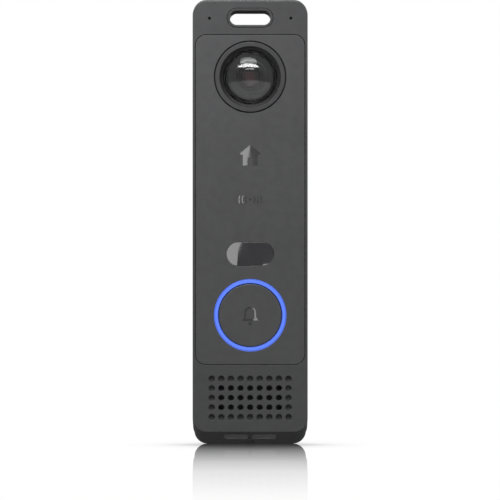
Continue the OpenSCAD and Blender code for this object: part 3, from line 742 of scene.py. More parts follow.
def moulded_plastic(name, colour, roughness=0.5, grain=3200.0, depth=0.000012, worn=0.5, dust=0.06,
                    **constants):
    """Matt moulded plastic: mould grain, rubbed edges, a little dust."""
    f = Finish(name, roughness, **constants)
    grain_out = f.group(GRAIN, Grain=grain)
    base = f.mix(grain_out["Shade"], scaled(colour, 0.95), scaled(colour, 1.05))
    rubbed = f.group(WEAR, Rim=f.rim(), Amount=worn)["Worn"]
    base = f.mix(rubbed, base, scaled(colour, 1.9))
    dusty = f.group(DUST, Facing=f.facing(), Amount=dust)["Dust"]
    f.feed("Base Color", f.mix(dusty, base, (0.32, 0.31, 0.29)))
    rough = f.span(grain_out["Gloss"], roughness - 0.05, roughness + 0.05)
    f.feed("Roughness", math_node(f.tree, "MULTIPLY_ADD", rubbed, -0.12, rough))
    f.bump(grain_out["Height"], depth)
    return f.material


def polished_plastic(name, colour, roughness=0.008, haze=0.012):
    """Glossy plastic or printed glass with wiping marks."""
    f = Finish(name, roughness)
    wiped = f.group(WIPED, Haze=1.0)
    dusty = f.group(DUST, Facing=f.facing(), Amount=0.03)["Dust"]
    f.feed("Base Color", f.mix(dusty, f.mix(wiped["Haze"], colour, scaled(colour, 1.15)), (0.3, 0.3, 0.3)))
    f.feed("Roughness", math_node(f.tree, "MULTIPLY_ADD", wiped["Haze"], haze, roughness))
    return f.material


def clear_plastic(name, colour, roughness=0.05, ior=1.5):
    """Clear moulded dome or lens element with a faint wiped haze."""
    f = Finish(name, roughness, IOR=ior)
    f.set("Transmission Weight", 1.0)
    wiped = f.group(WIPED, Haze=0.04)
    f.feed("Base Color", f.mix(wiped["Haze"], colour, scaled(colour, 0.96)))
    f.feed("Roughness", math_node(f.tree, "ADD", math_node(f.tree, "MULTIPLY", wiped["Haze"], 0.5),
                                  roughness))
    return f.material


def soft_rubber(name, colour, roughness=0.7):
    """Matt silicone rubber that holds some dust."""
    f = Finish(name, roughness)
    grain = f.group(GRAIN, Grain=1800.0)
    dusty = f.group(DUST, Facing=f.facing(), Amount=0.2)["Dust"]
    f.feed("Base Color", f.mix(dusty, f.mix(grain["Shade"], scaled(colour, 0.85), scaled(colour, 1.1)),
                               (0.25, 0.24, 0.23)))
    f.feed("Roughness", f.span(grain["Gloss"], roughness - 0.08, roughness + 0.08))
    f.bump(grain["Height"], 0.00002)
    return f.material


def open_foam(name, colour):
    """Foam with open pores."""
    f = Finish(name, 0.9)
    pores = texture(f.tree, "Voronoi", f.place, 2600.0)
    depth = remap(f.tree, pores.outputs["Distance"], 0.1, 0.6)
    # Pore hollows are coloured darker than the foam's faces: painted shade in the pores.
    f.feed("Base Color", f.mix(depth, scaled(colour, 0.4), colour))
    f.bump(depth, 0.0002)
    return f.material


def plated_metal(name, colour, roughness=0.3, stretch=(1.0, 1.0, 12.0), tarnish=0.3):
    """Plated or rolled metal with drawn lines, cloudy tarnish and bright rims."""
    f = Finish(name, roughness)
    f.set("Metallic", 1.0)
    metal = f.group(DRAWN, Stretch=stretch)
    dull = math_node(f.tree, "MULTIPLY", metal["Tarnish"], tarnish)
    rubbed = f.group(WEAR, Rim=f.rim(), Amount=0.6)["Worn"]
    f.feed("Base Color", f.mix(rubbed, f.mix(dull, colour, scaled(colour, 0.55)), scaled(colour, 1.25)))
    f.feed("Roughness", math_node(f.tree, "ADD", f.span(metal["Lines"], roughness - 0.08, roughness + 0.1),
                                  math_node(f.tree, "MULTIPLY", dull, 0.25)))
    f.bump(metal["Lines"], 0.000004)
    return f.material


def solder_masked_board(name, mask):
    """Circuit board: tracks under the mask, tinned pads and faint print."""
    f = Finish(name, 0.35)
    marks = f.group(CIRCUIT)
    base = f.mix(marks["Track"], mask, scaled(mask, 2.2))
    base = f.mix(marks["Print"], base, (0.5, 0.52, 0.48))
    f.feed("Base Color", f.mix(marks["Pad"], base, (0.62, 0.6, 0.55)))
    f.feed("Metallic", marks["Pad"])
    f.feed("Roughness", f.span(marks["Track"], 0.32, 0.45))
    f.bump(marks["Track"], 0.00003)
    return f.material


def woven_cloth(name, colour, threads=4000.0):
    """Plain-woven acoustic cloth."""
    f = Finish(name, 0.85)
    weave = f.group(WEAVE, Threads=threads)
    # The gaps between threads are coloured near black: painted shade between the threads.
    f.feed("Base Color", f.mix(weave["Gap"], colour, scaled(colour, 0.15)))
    f.bump(weave["Height"], 0.0001)
    return f.material


def pressed_fibre(name, colour):
    """Pressed paper pulp of a loudspeaker cone."""
    f = Finish(name, 0.8)
    fibres = texture(f.tree, "Noise", stretched(f.tree, f.place, (1, 1, 3)), 1400.0, Detail=5.0)
    f.feed("Base Color", f.mix(fibres.outputs["Fac"], scaled(colour, 0.6), scaled(colour, 1.4)))
    f.bump(fibres.outputs["Fac"], 0.00008)
    return f.material


def lit_guide(name, colour, glow, strength):
    """Translucent light guide with the lights on behind it."""
    f = Finish(name, 0.35)
    cloud = texture(f.tree, "Noise", f.place, 300.0, Detail=2.0)
    f.feed("Base Color", f.mix(cloud.outputs["Fac"], scaled(colour, 0.9), colour))
    even = f.mix(cloud.outputs["Fac"], scaled(glow, 0.96), glow)
    f.feed("Emission Color", f.mix(f.rim(), even, scaled(glow, 0.35)))
    f.set("Emission Strength", strength)
    return f.material


def cast_resin(name, colour, roughness=0.25):
    """Cloudy, tinted resin of a light-emitting part."""
    f = Finish(name, roughness)
    cloud = texture(f.tree, "Noise", f.place, 900.0, Detail=2.0)
    f.feed("Base Color", f.mix(cloud.outputs["Fac"], scaled(colour, 0.8), scaled(colour, 1.1)))
    f.feed("Roughness", f.span(cloud.outputs["Fac"], roughness - 0.1, roughness + 0.1))
    return f.material


HOUSING_GREY = (0.0423, 0.0428, 0.0442)
PANEL_GREY = (0.052, 0.0525, 0.054)

MATERIALS = {
    "housing_plastic": moulded_plastic("housing plastic", HOUSING_GREY, 0.52, worn=0.2, dust=0.03),
    "panel_plastic": moulded_plastic("panel plastic", PANEL_GREY, 0.48, grain=4200.0, depth=0.000008),
    "black_gloss": polished_plastic("black gloss", (0.022, 0.022, 0.024)),
    "clear_dome": clear_plastic("clear dome", (0.97, 0.98, 0.98)),
    "lens_glass": clear_plastic("lens glass", (0.93, 0.8, 0.82), 0.01, 1.6),
    "light_guide": lit_guide("lit light guide", (0.02, 0.05, 0.25), (0.105, 0.2, 0.86), 1.0),
    "inner_plastic": moulded_plastic("inner plastic", (0.016, 0.016, 0.017), 0.6, worn=0.2, dust=0.1),
    "light_plastic": moulded_plastic("light plastic", (0.55, 0.53, 0.46), 0.45, worn=0.1, dust=0.1),
    "silicone": soft_rubber("silicone", (0.06, 0.06, 0.062)),
    "foam": open_foam("foam", (0.05, 0.05, 0.052)),
    "circuit_board": solder_masked_board("circuit board", (0.008, 0.055, 0.032)),
    "chip_resin": moulded_plastic("chip resin", (0.014, 0.014, 0.016), 0.42, grain=2400.0, worn=0.1),
    "steel": plated_metal("plated steel", (0.55, 0.55, 0.56), 0.3),
    "tin_plate": plated_metal("tin plate", (0.66, 0.66, 0.65), 0.32, (1.0, 1.0, 1.0), 0.4),
    "aluminium": plated_metal("rolled aluminium", (0.68, 0.69, 0.7), 0.35, (1.0, 1.0, 16.0), 0.15),
    "gold_contact": plated_metal("gold contact", (0.9, 0.66, 0.28), 0.22, (1.0, 8.0, 1.0), 0.1),
    "copper": plated_metal("enamelled copper", (0.6, 0.24, 0.1), 0.35, (1.0, 1.0, 1.0), 0.3),
    "led_resin": cast_resin("led resin", (0.75, 0.72, 0.55)),
    "infrared_resin": cast_resin("infrared resin", (0.06, 0.03, 0.08), 0.15),
    "mesh_cloth": woven_cloth("acoustic cloth", (0.045, 0.045, 0.048)),
    "cone_paper": pressed_fibre("cone paper", (0.1, 0.085, 0.07)),
    "plate_plastic": moulded_plastic("plate plastic", (0.07, 0.071, 0.074), 0.55, grain=2400.0,
                                     depth=0.00002, worn=0.3, dust=0.25),
}
MARK_GLOSS = polished_plastic("mark gloss", (0.03, 0.03, 0.031))
MASK_GLOSS = polished_plastic("mask gloss", (0.01, 0.01, 0.011), 0.35, 0.1)
# Black of the lens barrel, also put on the bezel's funnel as painted shade.
BLACK_BARREL_AND_FUNNEL_SHADE = moulded_plastic("barrel black and painted funnel shade", (0.008, 0.008, 0.009), 0.5, worn=0.1, dust=0.01,
                               Specular_IOR_Level=0.3)
BEZEL_GREY = moulded_plastic("bezel plastic", scaled(PANEL_GREY, 0.8), 0.42, grain=4200.0, depth=0.000006)
BLACK_STEEL = plated_metal("blackened steel", (0.06, 0.06, 0.062), 0.45)
LINER_GREY = moulded_plastic("liner plastic", HOUSING_GREY, 0.4, grain=4200.0, depth=0.000006)
# The pink tint in this glass is a painted reflection: it stands in for the reddish reflection of the lens
# coating.
LENS_GLASS_PAINTED_REFLECTION = clear_plastic("lens glass with painted coating reflection", (0.8, 0.42, 0.46), 0.01, 1.62)
PANE_GREY = polished_plastic("bottom pane", (0.12, 0.12, 0.125), 0.35, 0.02)


# ---------- housings and panel ----------

PANES = {"package_window": -PANE_X, "lamp_window": PANE_X}


def camera_hole(grow=0.38):
    return circle(BEZEL_R + grow, 0, CAMERA_Y, 128)


def button_hole(grow=0.1):
    return circle(RING_R + grow, 0, BUTTON_Y, 128)


def window_hole(grow=0.08):
    return pill(WINDOW_W + 2 * grow, WINDOW_H + 2 * grow, 0, WINDOW_Y)


def liner_outline(grow=0.0):
    return pill(SLOT_W + 2 * (LINER_RIM + grow), SLOT_H + 2 * (LINER_RIM + grow), 0, SLOT_Y)


def grille_cutters(columns, rows, radius, floor, face, lip, finish):
    """Grid of round cutters for the speaker holes."""
    seed = shape_to_mesh("hole", hole(circle(radius, steps=28), floor, face, lip))
    return repeated("holes", GRID_TREE, seed, at=(0, GRILLE_Y), Columns=columns, Rows=rows,
                    Pitch=GRILLE_PITCH * MM, Finish=finish)


def front_housing():
    """Front shell: panel recess, openings, speaker and microphone holes, and screw posts."""
    skin = shell(body, rounded([
        (6, FRONT), (0, FRONT, 0.35), (0, SPLIT, 0.25), (WALL, SPLIT, 0.2), (WALL, INNER, 0.4),
        (6, INNER)], 5))
    obj = shape_to_mesh("front_housing", skin)
    recess = rect(PANEL.x + 2 * SEAM, PANEL.y + 2 * SEAM, PANEL_R + SEAM, 0, PANEL_Y, 12)
    carve(obj, hole(recess, PANEL_BACK, FRONT, 0.16),
          hole(liner_outline(0.16), INNER - 2, FRONT, 0.12),
          *(hole(circle(0.66, x, MIC_Y, 24), INNER - 2, FRONT, 0.08) for x in (-MIC_X, MIC_X)))
    through = [hole(o, INNER - 2, PANEL_BACK, 0.1) for o in (camera_hole(), button_hole(), window_hole())]
    carve(obj, *through)
    finish = MATERIALS["housing_plastic"]
    carve(obj, grille_cutters(9, 5, GRILLE_D / 2, FRONT - 1.5, FRONT, 0.12, finish))
    carve(obj, grille_cutters(7, 3, GRILLE_D / 2 - 0.3, INNER - 1, FRONT - 1.5, 0.06, finish))
    pockets = [moved(hole(rect(PANE_W + 0.12, PANE_L + 0.12, 2.06), PANE_T, 0, 0.15), on_bottom(x))
               for x in PANES.values()]
    carve(obj, *pockets)
    lights = [moved(shell(rect(PANE_W - 2.4, PANE_L - 2.4, 1.4), [(0, 0.5), (0, WALL + 1)]), on_bottom(x))
              for x in PANES.values()]
    carve(obj, *lights)
    posts = [shape_to_mesh("posts", shell(circle(2.6, x, y, 24), [(0, FLOOR), (0, INNER + 0.3)]))
             for x in (-SCREW_X, SCREW_X) for y in SCREW_YS]
    join(obj, posts)
    return finish_piece(obj, finish, "doorbell", "front_housing")


def join(obj, others):
    """Adds other closed meshes to a piece."""
    bm = bmesh.new()
    for part in [obj, *others]:
        bm.from_mesh(part.data)
    bm.to_mesh(obj.data)
    bm.free()
    for part in others:
        bpy.data.objects.remove(part)
    return obj


def front_panel():
    """Inset fascia with its openings and the sinks for two marks."""
    plate = rect(PANEL.x, PANEL.y, PANEL_R, 0, PANEL_Y, 12)
    obj = shape_to_mesh("front_panel", shell(plate, rounded([
        (3, FRONT), (0, FRONT, 0.16), (0, PANEL_BACK, 0.1), (3, PANEL_BACK)], 4)))
    carve(obj, *(hole(o, PANEL_BACK - 1, FRONT, 0.14)
                 for o in (camera_hole(), button_hole(), window_hole())))
    marks = [house_points(0.03), *wave_points(0.03)]
    carve(obj, *(shell(drawn(points), [(0, FRONT - 0.5), (0, FRONT + 1)]) for points in marks))
    return finish_piece(obj, MATERIALS["panel_plastic"], "doorbell", "front_panel")


def slot_liner():
    """Sleeve of the strap slot, with a flange inside the front wall."""
    top, r = FRONT + 0.1, LINER_RIM - 0.05
    ring = pill(SLOT_W + 2 * r, SLOT_H + 2 * r, 0, SLOT_Y)
    tube = collar(ring, [(0, top, 0.1), (r, top, 0.35), (r, RIM, 0.4), (0, RIM, 0.2), (0, SPLIT),
                         (0, FRONT - 3)], 5)
    flange = collar(pill(SLOT_W + 2 * r + 1.6, SLOT_H + 2 * r + 1.2, 0, SLOT_Y),
                    [(0, INNER, 0.2), (0, SPLIT, 0.2), (1.2, SPLIT), (1.2, INNER)], 2)
    return piece("slot_liner", LINER_GREY, "doorbell", tube, flange)


def rear_housing():
    """Back shell: recess for the wall plate, bars for its hooks, and the lock screw's boss."""
    skin = shell(body, rounded([(6, RIM), (REAR_STEP, RIM, 0.9), (REAR_STEP, SPLIT, 0.15), (6, SPLIT)], 5))
    obj = shape_to_mesh("rear_housing", skin)
    inset = WALL + REAR_STEP

    def recess(grow, level):
        return body(inset + grow, level, RECESS_TOP_Y)

    carve(obj, shell(body, [(inset, FLOOR), (inset, SPLIT + 1)]))
    carve(obj, hole(recess, RECESS, RIM, 0.4))
    carve(obj, shell(rect(BODY_W - 2 * inset - 1, 11, 2, 0, 93), [(0, 2.5), (0, FLOOR + 1)]))
    holes = [shell(circle(1.35, x, y, 24), [(0, RIM - 1), (0, SPLIT)])
             for x in (-SCREW_X, SCREW_X) for y in SCREW_YS]
    holes += [shell(circle(1.6, x, middle("tamper_plunger").y, 24), [(0, RIM - 1), (0, SPLIT)])
              for x in (middle("tamper_plunger").x, middle("reset_button").x)]
    carve(obj, hole(liner_outline(), SPLIT + 1, RIM, 0.2),
          shell(rect(18.4, 18.4, 2, 0, SOCKET_Y), [(0, RIM - 1), (0, SPLIT + 1)]), *holes)
    carve(obj, moved(shell(circle(2.5, steps=32), [(0, -3), (0, 5), (1.22, 5.01), (1.22, 8)]), ON_LOCK))
    boss_ring = collar(circle(3.6, steps=32), [
        (0, 1.2), (0, 6.8, 0.2), (2.32, 6.8), (2.32, 5), (1.1, 5), (1.1, 1.2)], 2)
    boss = shape_to_mesh("boss", moved(boss_ring, ON_LOCK))
    bars = [shape_to_mesh("bar", box(8.3, 4, 2.7, 4.7, side * 19.95, hook_y + 3.9, 0.15))
            for side in (-1, 1) for hook_y in HOOK_YS]
    join(obj, [boss, *bars])
    return finish_piece(obj, MATERIALS["housing_plastic"], "doorbell", "rear_housing")


# ---------- main camera ----------

def camera_bezel():
    """Turned ring round the dome; its funnel gets a black material as painted shade."""
    low, lip = levels("camera_bezel")[0], levels("camera_dome")[0] + 1
    step = BEZEL_TOP - 0.6
    rim_r, flange_r = BEZEL_R - 0.2, BEZEL_R + 1.1
    obj = piece("camera_bezel", BEZEL_GREY, "doorbell", collar(turned(CAMERA_Y, 160), [
        (BEZEL_MOUTH_R, BEZEL_TOP, 0.12), (rim_r, BEZEL_TOP, 0.2), (rim_r, INNER),
        (flange_r, INNER, 0.1), (flange_r, low, 0.1), (15.1, low), (15.1, lip),
        (DOME_R + 0.1, lip), (DOME_R + 0.1, lip + 0.3), (BEZEL_MOUTH_R - 0.3, step, 0.1),
        (BEZEL_MOUTH_R - 0.05, step)]))
    # The funnel wall inside the mouth falls in shade; its faces get the black material as painted shade.
    obj.data.materials.append(BLACK_BARREL_AND_FUNNEL_SHADE)
    for face in obj.data.polygons:
        x, deep, up = face.center / MM
        off_axis = Vector((x, up - CAMERA_Y)).length
        if off_axis < BEZEL_MOUTH_R - 0.01 and -deep < BEZEL_TOP - 0.1:
            face.material_index = 1
    return obj


def camera_dome():
    """Clear hollow ball cap on a flange."""
    flange_r, flange_low = extent("camera_dome").x / 2, levels("camera_dome")[0]
    centre = DOME_BASE + DOME_RISE - DOME_SPHERE
    inner_r = DOME_R - DOME_T
    outer = cap_arc(DOME_SPHERE, centre, DOME_R)
    inner = cap_arc(DOME_SPHERE - DOME_T, centre, inner_r)
    profile = [*inner[::-1], (inner_r, flange_low), (flange_r, flange_low), (flange_r, flange_low + 1),
               (DOME_R, flange_low + 1), *outer]
    return piece("camera_dome", MATERIALS["clear_dome"], "doorbell",
                 shell(turned(CAMERA_Y, 160), profile), even=False)


def camera_mask():
    """Black plate round the lens, with raised rings and a small sensor hole."""
    low = levels("camera_mask")[0]
    top = low + 0.9
    bore_r, rim_r = LENS_R + 0.15, 14.8
    obj = shape_to_mesh("camera_mask", collar(turned(CAMERA_Y), [
        (bore_r, top + 0.35, 0.1), (7.2, top + 0.35, 0.1), (7.9, top, 0.1), (10.4, top + 0.45, 0.1),
        (10.7, top, 0.1), (rim_r, top), (rim_r, low), (bore_r, low)], 3))
    carve(obj, hole(circle(0.9, 0, CAMERA_Y - 9.2, 32), low + 0.2, top, 0.1))
    return finish_piece(obj, MASK_GLOSS, "doorbell", "camera_mask")


def lens_barrel():
    """Stepped barrel with grip ridges round its foot."""
    low, high = levels("lens_barrel")
    r = LENS_R
    ridges = []
    for k in range(5):
        z = low + 2.4 - 0.5 * k
        ridges += [(r, z), (r - 0.3, z - 0.12), (r - 0.3, z - 0.26), (r, z - 0.4)]
    return piece("lens_barrel", BLACK_BARREL_AND_FUNNEL_SHADE, "doorbell", collar(turned(CAMERA_Y), [
        (4.75, high, 0.12), (r, high, 0.25), (r, high - 1.4, 0.1), (r - 0.25, high - 1.7, 0.1),
        (r - 0.25, low + 3, 0.1), *ridges, (r - 0.2, low), (4, low), (4, low + 5.2), (2.2, low + 5.2),
        (2.2, low + 6.4), (4.1, low + 6.4)], 3))


def lens_front():
    """Front element: a ball cap on a short taper."""
    low, high = levels("lens_front")
    profile = [(0.04, low), (4.08, low), (4.6, high - 1.05), *cap_arc(11, high - 11, 4.55)]
    return piece("lens_front", LENS_GLASS_PAINTED_REFLECTION, "doorbell",
                 shell(turned(CAMERA_Y, 96), profile), even=False)


# ---------- marks ----------

def house_points(grow):
    """Plain house: walls, gable roof and an open doorway."""
    g = grow
    half, eave, door = 3.4 + g, 4.6 + g, 1.2 - g
    outline = [(-half, -4.6 - g), (-door, -4.6 - g), (-door, -1 - g), (door, -1 - g), (door, -4.6 - g),
               (half, -4.6 - g), (half, 0.4), (eave, 0.4 - g), (eave, 1.1), (0, 4.85 + g), (-eave, 1.1),
               (-eave, 0.4 - g), (-half, 0.4)]
    return [(x, HOUSE_Y + y - 0.12) for x, y in outline]


def wave_points(grow):
    """Dot with three arcs on either side."""
    shapes = [round_points(0.55 + grow, 0, WAVE_Y, steps=24)]
    for side in (0, 180):
        for radius, half in WAVE_ARCS:
            outer = round_points(radius + WAVE_STROKE + grow, 0, WAVE_Y, side - half, 2 * half, 16)
            inner = round_points(radius - grow, 0, WAVE_Y, side + half, -2 * half, 16)
            shapes.append(outer + inner)
    return shapes


def bell_points(grow):
    """Outline bell as one open stroke with a foot line, and its clapper."""
    r, t, foot = 2.7, 0.75, 3.7
    outer = round_points(r + grow, 0, 1.3, 0, 180, 20)
    outer += [(-r - grow, -0.8), (-foot - grow, -2.4 - grow), (foot + grow, -2.4 - grow), (r + grow, -0.8)]
    inner = round_points(r - t - grow, 0, 1.3, 0, 180, 20)
    inner += [(-r + t + grow, -2.4 + t + grow), (r - t - grow, -2.4 + t + grow)]
    return outer, inner, round_points(0.75 + grow, 0, -3.7, steps=24)


def raised(points, low, high, y=0):
    """Straight-sided block of a drawn outline."""
    return shell(drawn([(px, py + y) for px, py in points]), [(0, low), (0, high)])


def inlays():
    """The three glossy marks, set into the panel and the button cap."""
    low, high = FRONT - 0.5, FRONT + 0.03
    house = piece("house_inlay", MARK_GLOSS, "doorbell",
                  raised(house_points(0), low, high))
    waves = piece("wave_inlay", MARK_GLOSS, "doorbell",
                  *(raised(points, low, high) for points in wave_points(0)))
    outer, inner, clapper = bell_points(0)
    bell = shape_to_mesh("bell_inlay", raised(outer, CAP_TOP - 0.5, CAP_TOP + 0.02, BUTTON_Y))
    carve(bell, raised(inner, CAP_TOP - 1, CAP_TOP + 1, BUTTON_Y))
    join(bell, [shape_to_mesh("clapper", raised(clapper, CAP_TOP - 0.5, CAP_TOP + 0.02, BUTTON_Y))])
    finish_piece(bell, MARK_GLOSS, "button", "bell_inlay")
    return [house, waves, bell]


# ---------- window, light ring and button ----------

def sensor_window():
    """Pill window on a wider foot behind the front wall."""
    low, back = levels("sensor_window")[0], INNER - 0.1
    return piece("sensor_window", MATERIALS["black_gloss"], "doorbell",
          shell(pill(WINDOW_W, WINDOW_H, 0, WINDOW_Y), rounded([
              (4, FRONT), (0, FRONT, 0.2), (0, back), (3, back)], 4)),
          slab(pill(WINDOW_W + 2.4, WINDOW_H + 2.4, 0, WINDOW_Y), low, INNER, 0.1))


def light_ring():
    """Lit ring with a flange behind the front wall and a foot over the lights."""
    low, top = levels("light_ring")
    rim_r, flange_r, foot_r, foot_bore = RING_R - 0.15, RING_R + 1.4, RING_R + 1, RING_R - 0.5
    piece("light_ring", MATERIALS["light_guide"], "doorbell", collar(turned(BUTTON_Y, 160), [
        (RING_BORE, RING_STEP), (RING_BORE, top, 0.3), (rim_r, top, 0.3), (rim_r, INNER),
        (flange_r, INNER), (flange_r, INNER - 1.1), (foot_r, INNER - 1.1), (foot_r, low, 0.1),
        (foot_bore, low, 0.1), (foot_bore, RING_STEP)]))


def button_cap():
    """Cap with a skirt, a centre post and the sink for the bell mark."""
    low = 19.6
    obj = shape_to_mesh("button_cap", shell(turned(BUTTON_Y, 160), rounded([
        (0.04, low), (2.5, low, 0.2), (2.5, 24.5), (CAP_R - 1.5, 24.5), (CAP_R - 1.5, 20.3, 0.1),
        (CAP_R + 0.6, 20.3, 0.1), (CAP_R + 0.6, 21.3, 0.1), (CAP_R, 21.3), (CAP_R, CAP_TOP, 0.35),
        (CAP_R - 3, CAP_TOP - 0.06), (0.04, CAP_TOP - 0.12)], 4)))
    outer, inner, clapper = bell_points(0.03)
    groove = shape_to_mesh("groove", raised(outer, CAP_TOP - 0.5, CAP_TOP + 1, BUTTON_Y))
    carve(groove, raised(inner, CAP_TOP - 1, CAP_TOP + 2, BUTTON_Y))
    carve(obj, groove)
    carve(obj, raised(clapper, CAP_TOP - 0.5, CAP_TOP + 1, BUTTON_Y))
    return finish_piece(obj, MATERIALS["panel_plastic"], "button", "button_cap")


# ---------- panes in the sloped bottom ----------

def bottom_panes():
    """Two panes with a rounded rim round a sunk middle."""
    for name, x in PANES.items():
        pane = shell(rect(PANE_W, PANE_L, 2), rounded([
            (3, PANE_T + 0.3), (1.3, PANE_T + 0.3), (1.3, PANE_T), (0, PANE_T, 0.1), (0, 0.03, 0.15),
            (0.9, 0.03, 0.1), (1.1, 0.25, 0.1), (3, 0.25)], 3))
        piece(name, PANE_GREY, "doorbell", moved(pane, on_bottom(x)))


# ---------- back: wall plate, screws and network socket ----------

def wall_plate():
    """Plate with its screw holes, cable window, hooks, ribs and lock tab."""
    y = middle("wall_plate").y
    low_y = lying_box("wall_plate")[0].y
    obj = shape_to_mesh("wall_plate", shell(rect(PLATE.x, PLATE.y, 5, 0, y, 10), rounded([
        (4, 0), (0, 0, 0.35), (0, PLATE_T, 0.35), (4, PLATE_T)], 4)))
    screw_spots = [(x, side * 70) for x in (-15, 15) for side in (-1, 1)]
    screw_spots += [(0, SOCKET_Y - 30), (0, SOCKET_Y + 30)]
    carve(obj, hole(rect(26, 28, 3, 0, SOCKET_Y), PLATE_T + 1, 0, 0.3),
          *(hole(circle(2.2, x, spot_y, 32), PLATE_T + 1, 0, 0.15) for x, spot_y in screw_spots))
    carve(obj, *(shell(circle(3.4, x, spot_y, 24), [(0, -1), (0, 0.12)])
                 for x in (-16, 16) for spot_y in (-50, -5, 45, 62)))
    root, hook_x = PLATE_T - 0.3, 19.3
    raised_parts = []
    for side in (-1, 1):
        for hook_y in HOOK_YS:
            raised_parts.append(box(5, 1.6, root, 6.4, side * hook_x, hook_y + 0.8, 0.12))
            raised_parts.append(box(5, 5.6, 5, 6.4, side * hook_x, hook_y + 2.8, 0.12))
        raised_parts.append(box(1.4, 60, root, PLATE_T + 0.9, side * 12, -40, 0.12))
    tab = shape_to_mesh("tab", box(12, 2, root, 6.6, 0, low_y + 1, 0.2))
    carve(tab, moved(shell(circle(1.5, steps=32), [(0, -97), (0, -85)]),
                     Matrix.Translation((0, 0, LOCK_Z)) @ Matrix.Rotation(-pi / 2, 4, "X")))
    join(obj, [tab, *(shape_to_mesh("stem", shape) for shape in raised_parts)])
    return finish_piece(obj, MATERIALS["plate_plastic"], "wall_plate", "wall_plate")


def socket_head(radius, top, depth, head_r, length_z, shank_r, sides=6):
    """Screw drawn head down: head from top to top plus depth, then its shank."""
    head = shell(circle(head_r, steps=32), rounded([
        (head_r - 0.04, top), (0, top, 0.3), (0, top + depth, 0.05), (head_r - shank_r, top + depth),
        (head_r - shank_r, length_z - 0.3), (head_r - shank_r + 0.3, length_z)], 3))
    obj = shape_to_mesh("screw", head)
    return carve(obj, shell(circle(radius, steps=sides), [(0, top - 1), (0, top + depth * 0.55)]))


def screws():
    """Housing screws in the recess, and the blackened lock screw."""
    finish = MATERIALS["steel"]
    spots = [(x, y) for x in (-SCREW_X, SCREW_X) for y in SCREW_YS]
    seed = socket_head(1.0, RECESS - 1.5, 1.5, 2.2, 20, 1.2)
    obj = repeated("housing_screws", SPOT_TREE, seed, spots=spots, Finish=finish)
    finish_piece(obj, finish, "doorbell", "housing_screws")
    low, high = (corner.y - LOCK_FACE_Y for corner in lying_box("lock_screw"))
    lock = socket_head(1.1, low, 1.8, 2.2, high, 1.2)
    lock.data.transform(STAND @ ON_LOCK @ STAND.inverted())
    finish_piece(lock, BLACK_STEEL, "lock_screw", "lock_screw")


def network_socket():
    """Eight-way socket with its mouth in three steps, its contacts and its seal."""
    low, high = levels("network_socket")
    case = rect(SOCKET_SIZE, SOCKET_SIZE, 0.5, 0, SOCKET_Y, 4)
    obj = shape_to_mesh("network_socket", shell(case, rounded([
        (2, low), (0, low, 0.25), (0, high, 0.25), (2, high)], 3)))
    carve(obj, hole(rect(11.9, 7.2, 0.3, 0, SOCKET_Y + 1.4, 2), 15.6, low, 0.25))
    carve(obj, hole(rect(6.2, 3.0, 0.2, 0, SOCKET_Y - 3.4, 2), 12, low, 0.15))
    carve(obj, hole(rect(3.4, 2.2, 0.2, 0, SOCKET_Y - 5.6, 2), 12, low, 0.15))
    finish_piece(obj, MATERIALS["tin_plate"], "doorbell", "network_socket")
    c_low, c_high = lying_box("socket_contacts")
    seed = shape_to_mesh("contact", box(0.45, 0.7, c_low.z, c_high.z, edge=0.08))
    pins = repeated("socket_contacts", GRID_TREE, seed, at=(0, (c_low.y + c_high.y) / 2), Columns=8, Rows=1,
                    Pitch=1.02 * MM, Finish=MATERIALS["gold_contact"])
    finish_piece(pins, MATERIALS["gold_contact"], "doorbell", "socket_contacts")
    waist, bore = 1.32, 2.49
    piece("socket_seal", MATERIALS["silicone"], "doorbell", collar(
        rect(SOCKET_SIZE + 5, SOCKET_SIZE + 5, 3, 0, SOCKET_Y),
        [(0, 6, 0.3), (0, RECESS, 0.1), (waist, RECESS), (waist, FLOOR), (0, FLOOR, 0.1),
         (0, FLOOR + 1, 0.3), (bore, FLOOR + 1), (bore, 6)], 3))


def ring_leds():
    """Twelve lights on a circle under the light ring."""
    low, high = levels("ring_leds")
    seed = shape_to_mesh("led", box(1.4, 2.4, low, high, edge=0.1))
    obj = repeated("ring_leds", WHEEL_TREE, seed, at=(0, BUTTON_Y), Count=12, Radius=16.8 * MM,
                   Finish=MATERIALS["led_resin"])
    finish_piece(obj, MATERIALS["led_resin"], "doorbell", "ring_leds")


# ---------- soft pieces ------------------------

def button_pad():
    """Soft pad under the call button, copied from its CAD node."""
    source = frame["nodes"]["button_pad"]
    obj = source.copy()
    obj.data = source.data.copy()
    obj.name = "button_pad_soft"
    bpy.context.scene.collection.objects.link(obj)
    obj.data.materials.clear()
    obj.data.materials.append(MATERIALS["silicone"])
    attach(obj, "doorbell")
    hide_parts("button_pad")
    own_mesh(obj)


def speaker_surround():
    """Rubber ring from the speaker frame to the underside of the cone."""
    top, foot, skin = levels("speaker_frame")[1] - 0.05, levels("speaker_cone")[0], 0.25
    size = extent("speaker_surround")
    obj = piece("speaker_surround", MATERIALS["silicone"], None, collar(
        pill(size.x, size.y, 0, middle("speaker_surround").y),
        [(0, top), (0.5, top, 0.3), (1.9, foot, 0.3), (2.65, foot), (2.65, foot - skin),
         (1.75, foot - skin, 0.3), (0.4, top - skin, 0.3), (0, top - skin)]))
    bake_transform(obj)


# ---------- the CAD nodes that stay ----------

def paint_kept_nodes():
    """Gives every CAD node the material of its slot."""
    slots = {part["node"]: part["material_slot"] for part in frame["record"]["subparts"]}
    for name, obj in frame["nodes"].items():
        obj.data.materials.clear()
        obj.data.materials.append(MATERIALS[slots[name]])


# ---------- stage, lights and camera ----------

# distance in front of the object in metres, and how much of a mirror the floor is there
MIRROR_FADE = ((0.0, 1.0), (0.0495, 0.85), (0.1655, 0.44), (0.2525, 0.225), (0.41, 0.05), (0.49, 0.0))


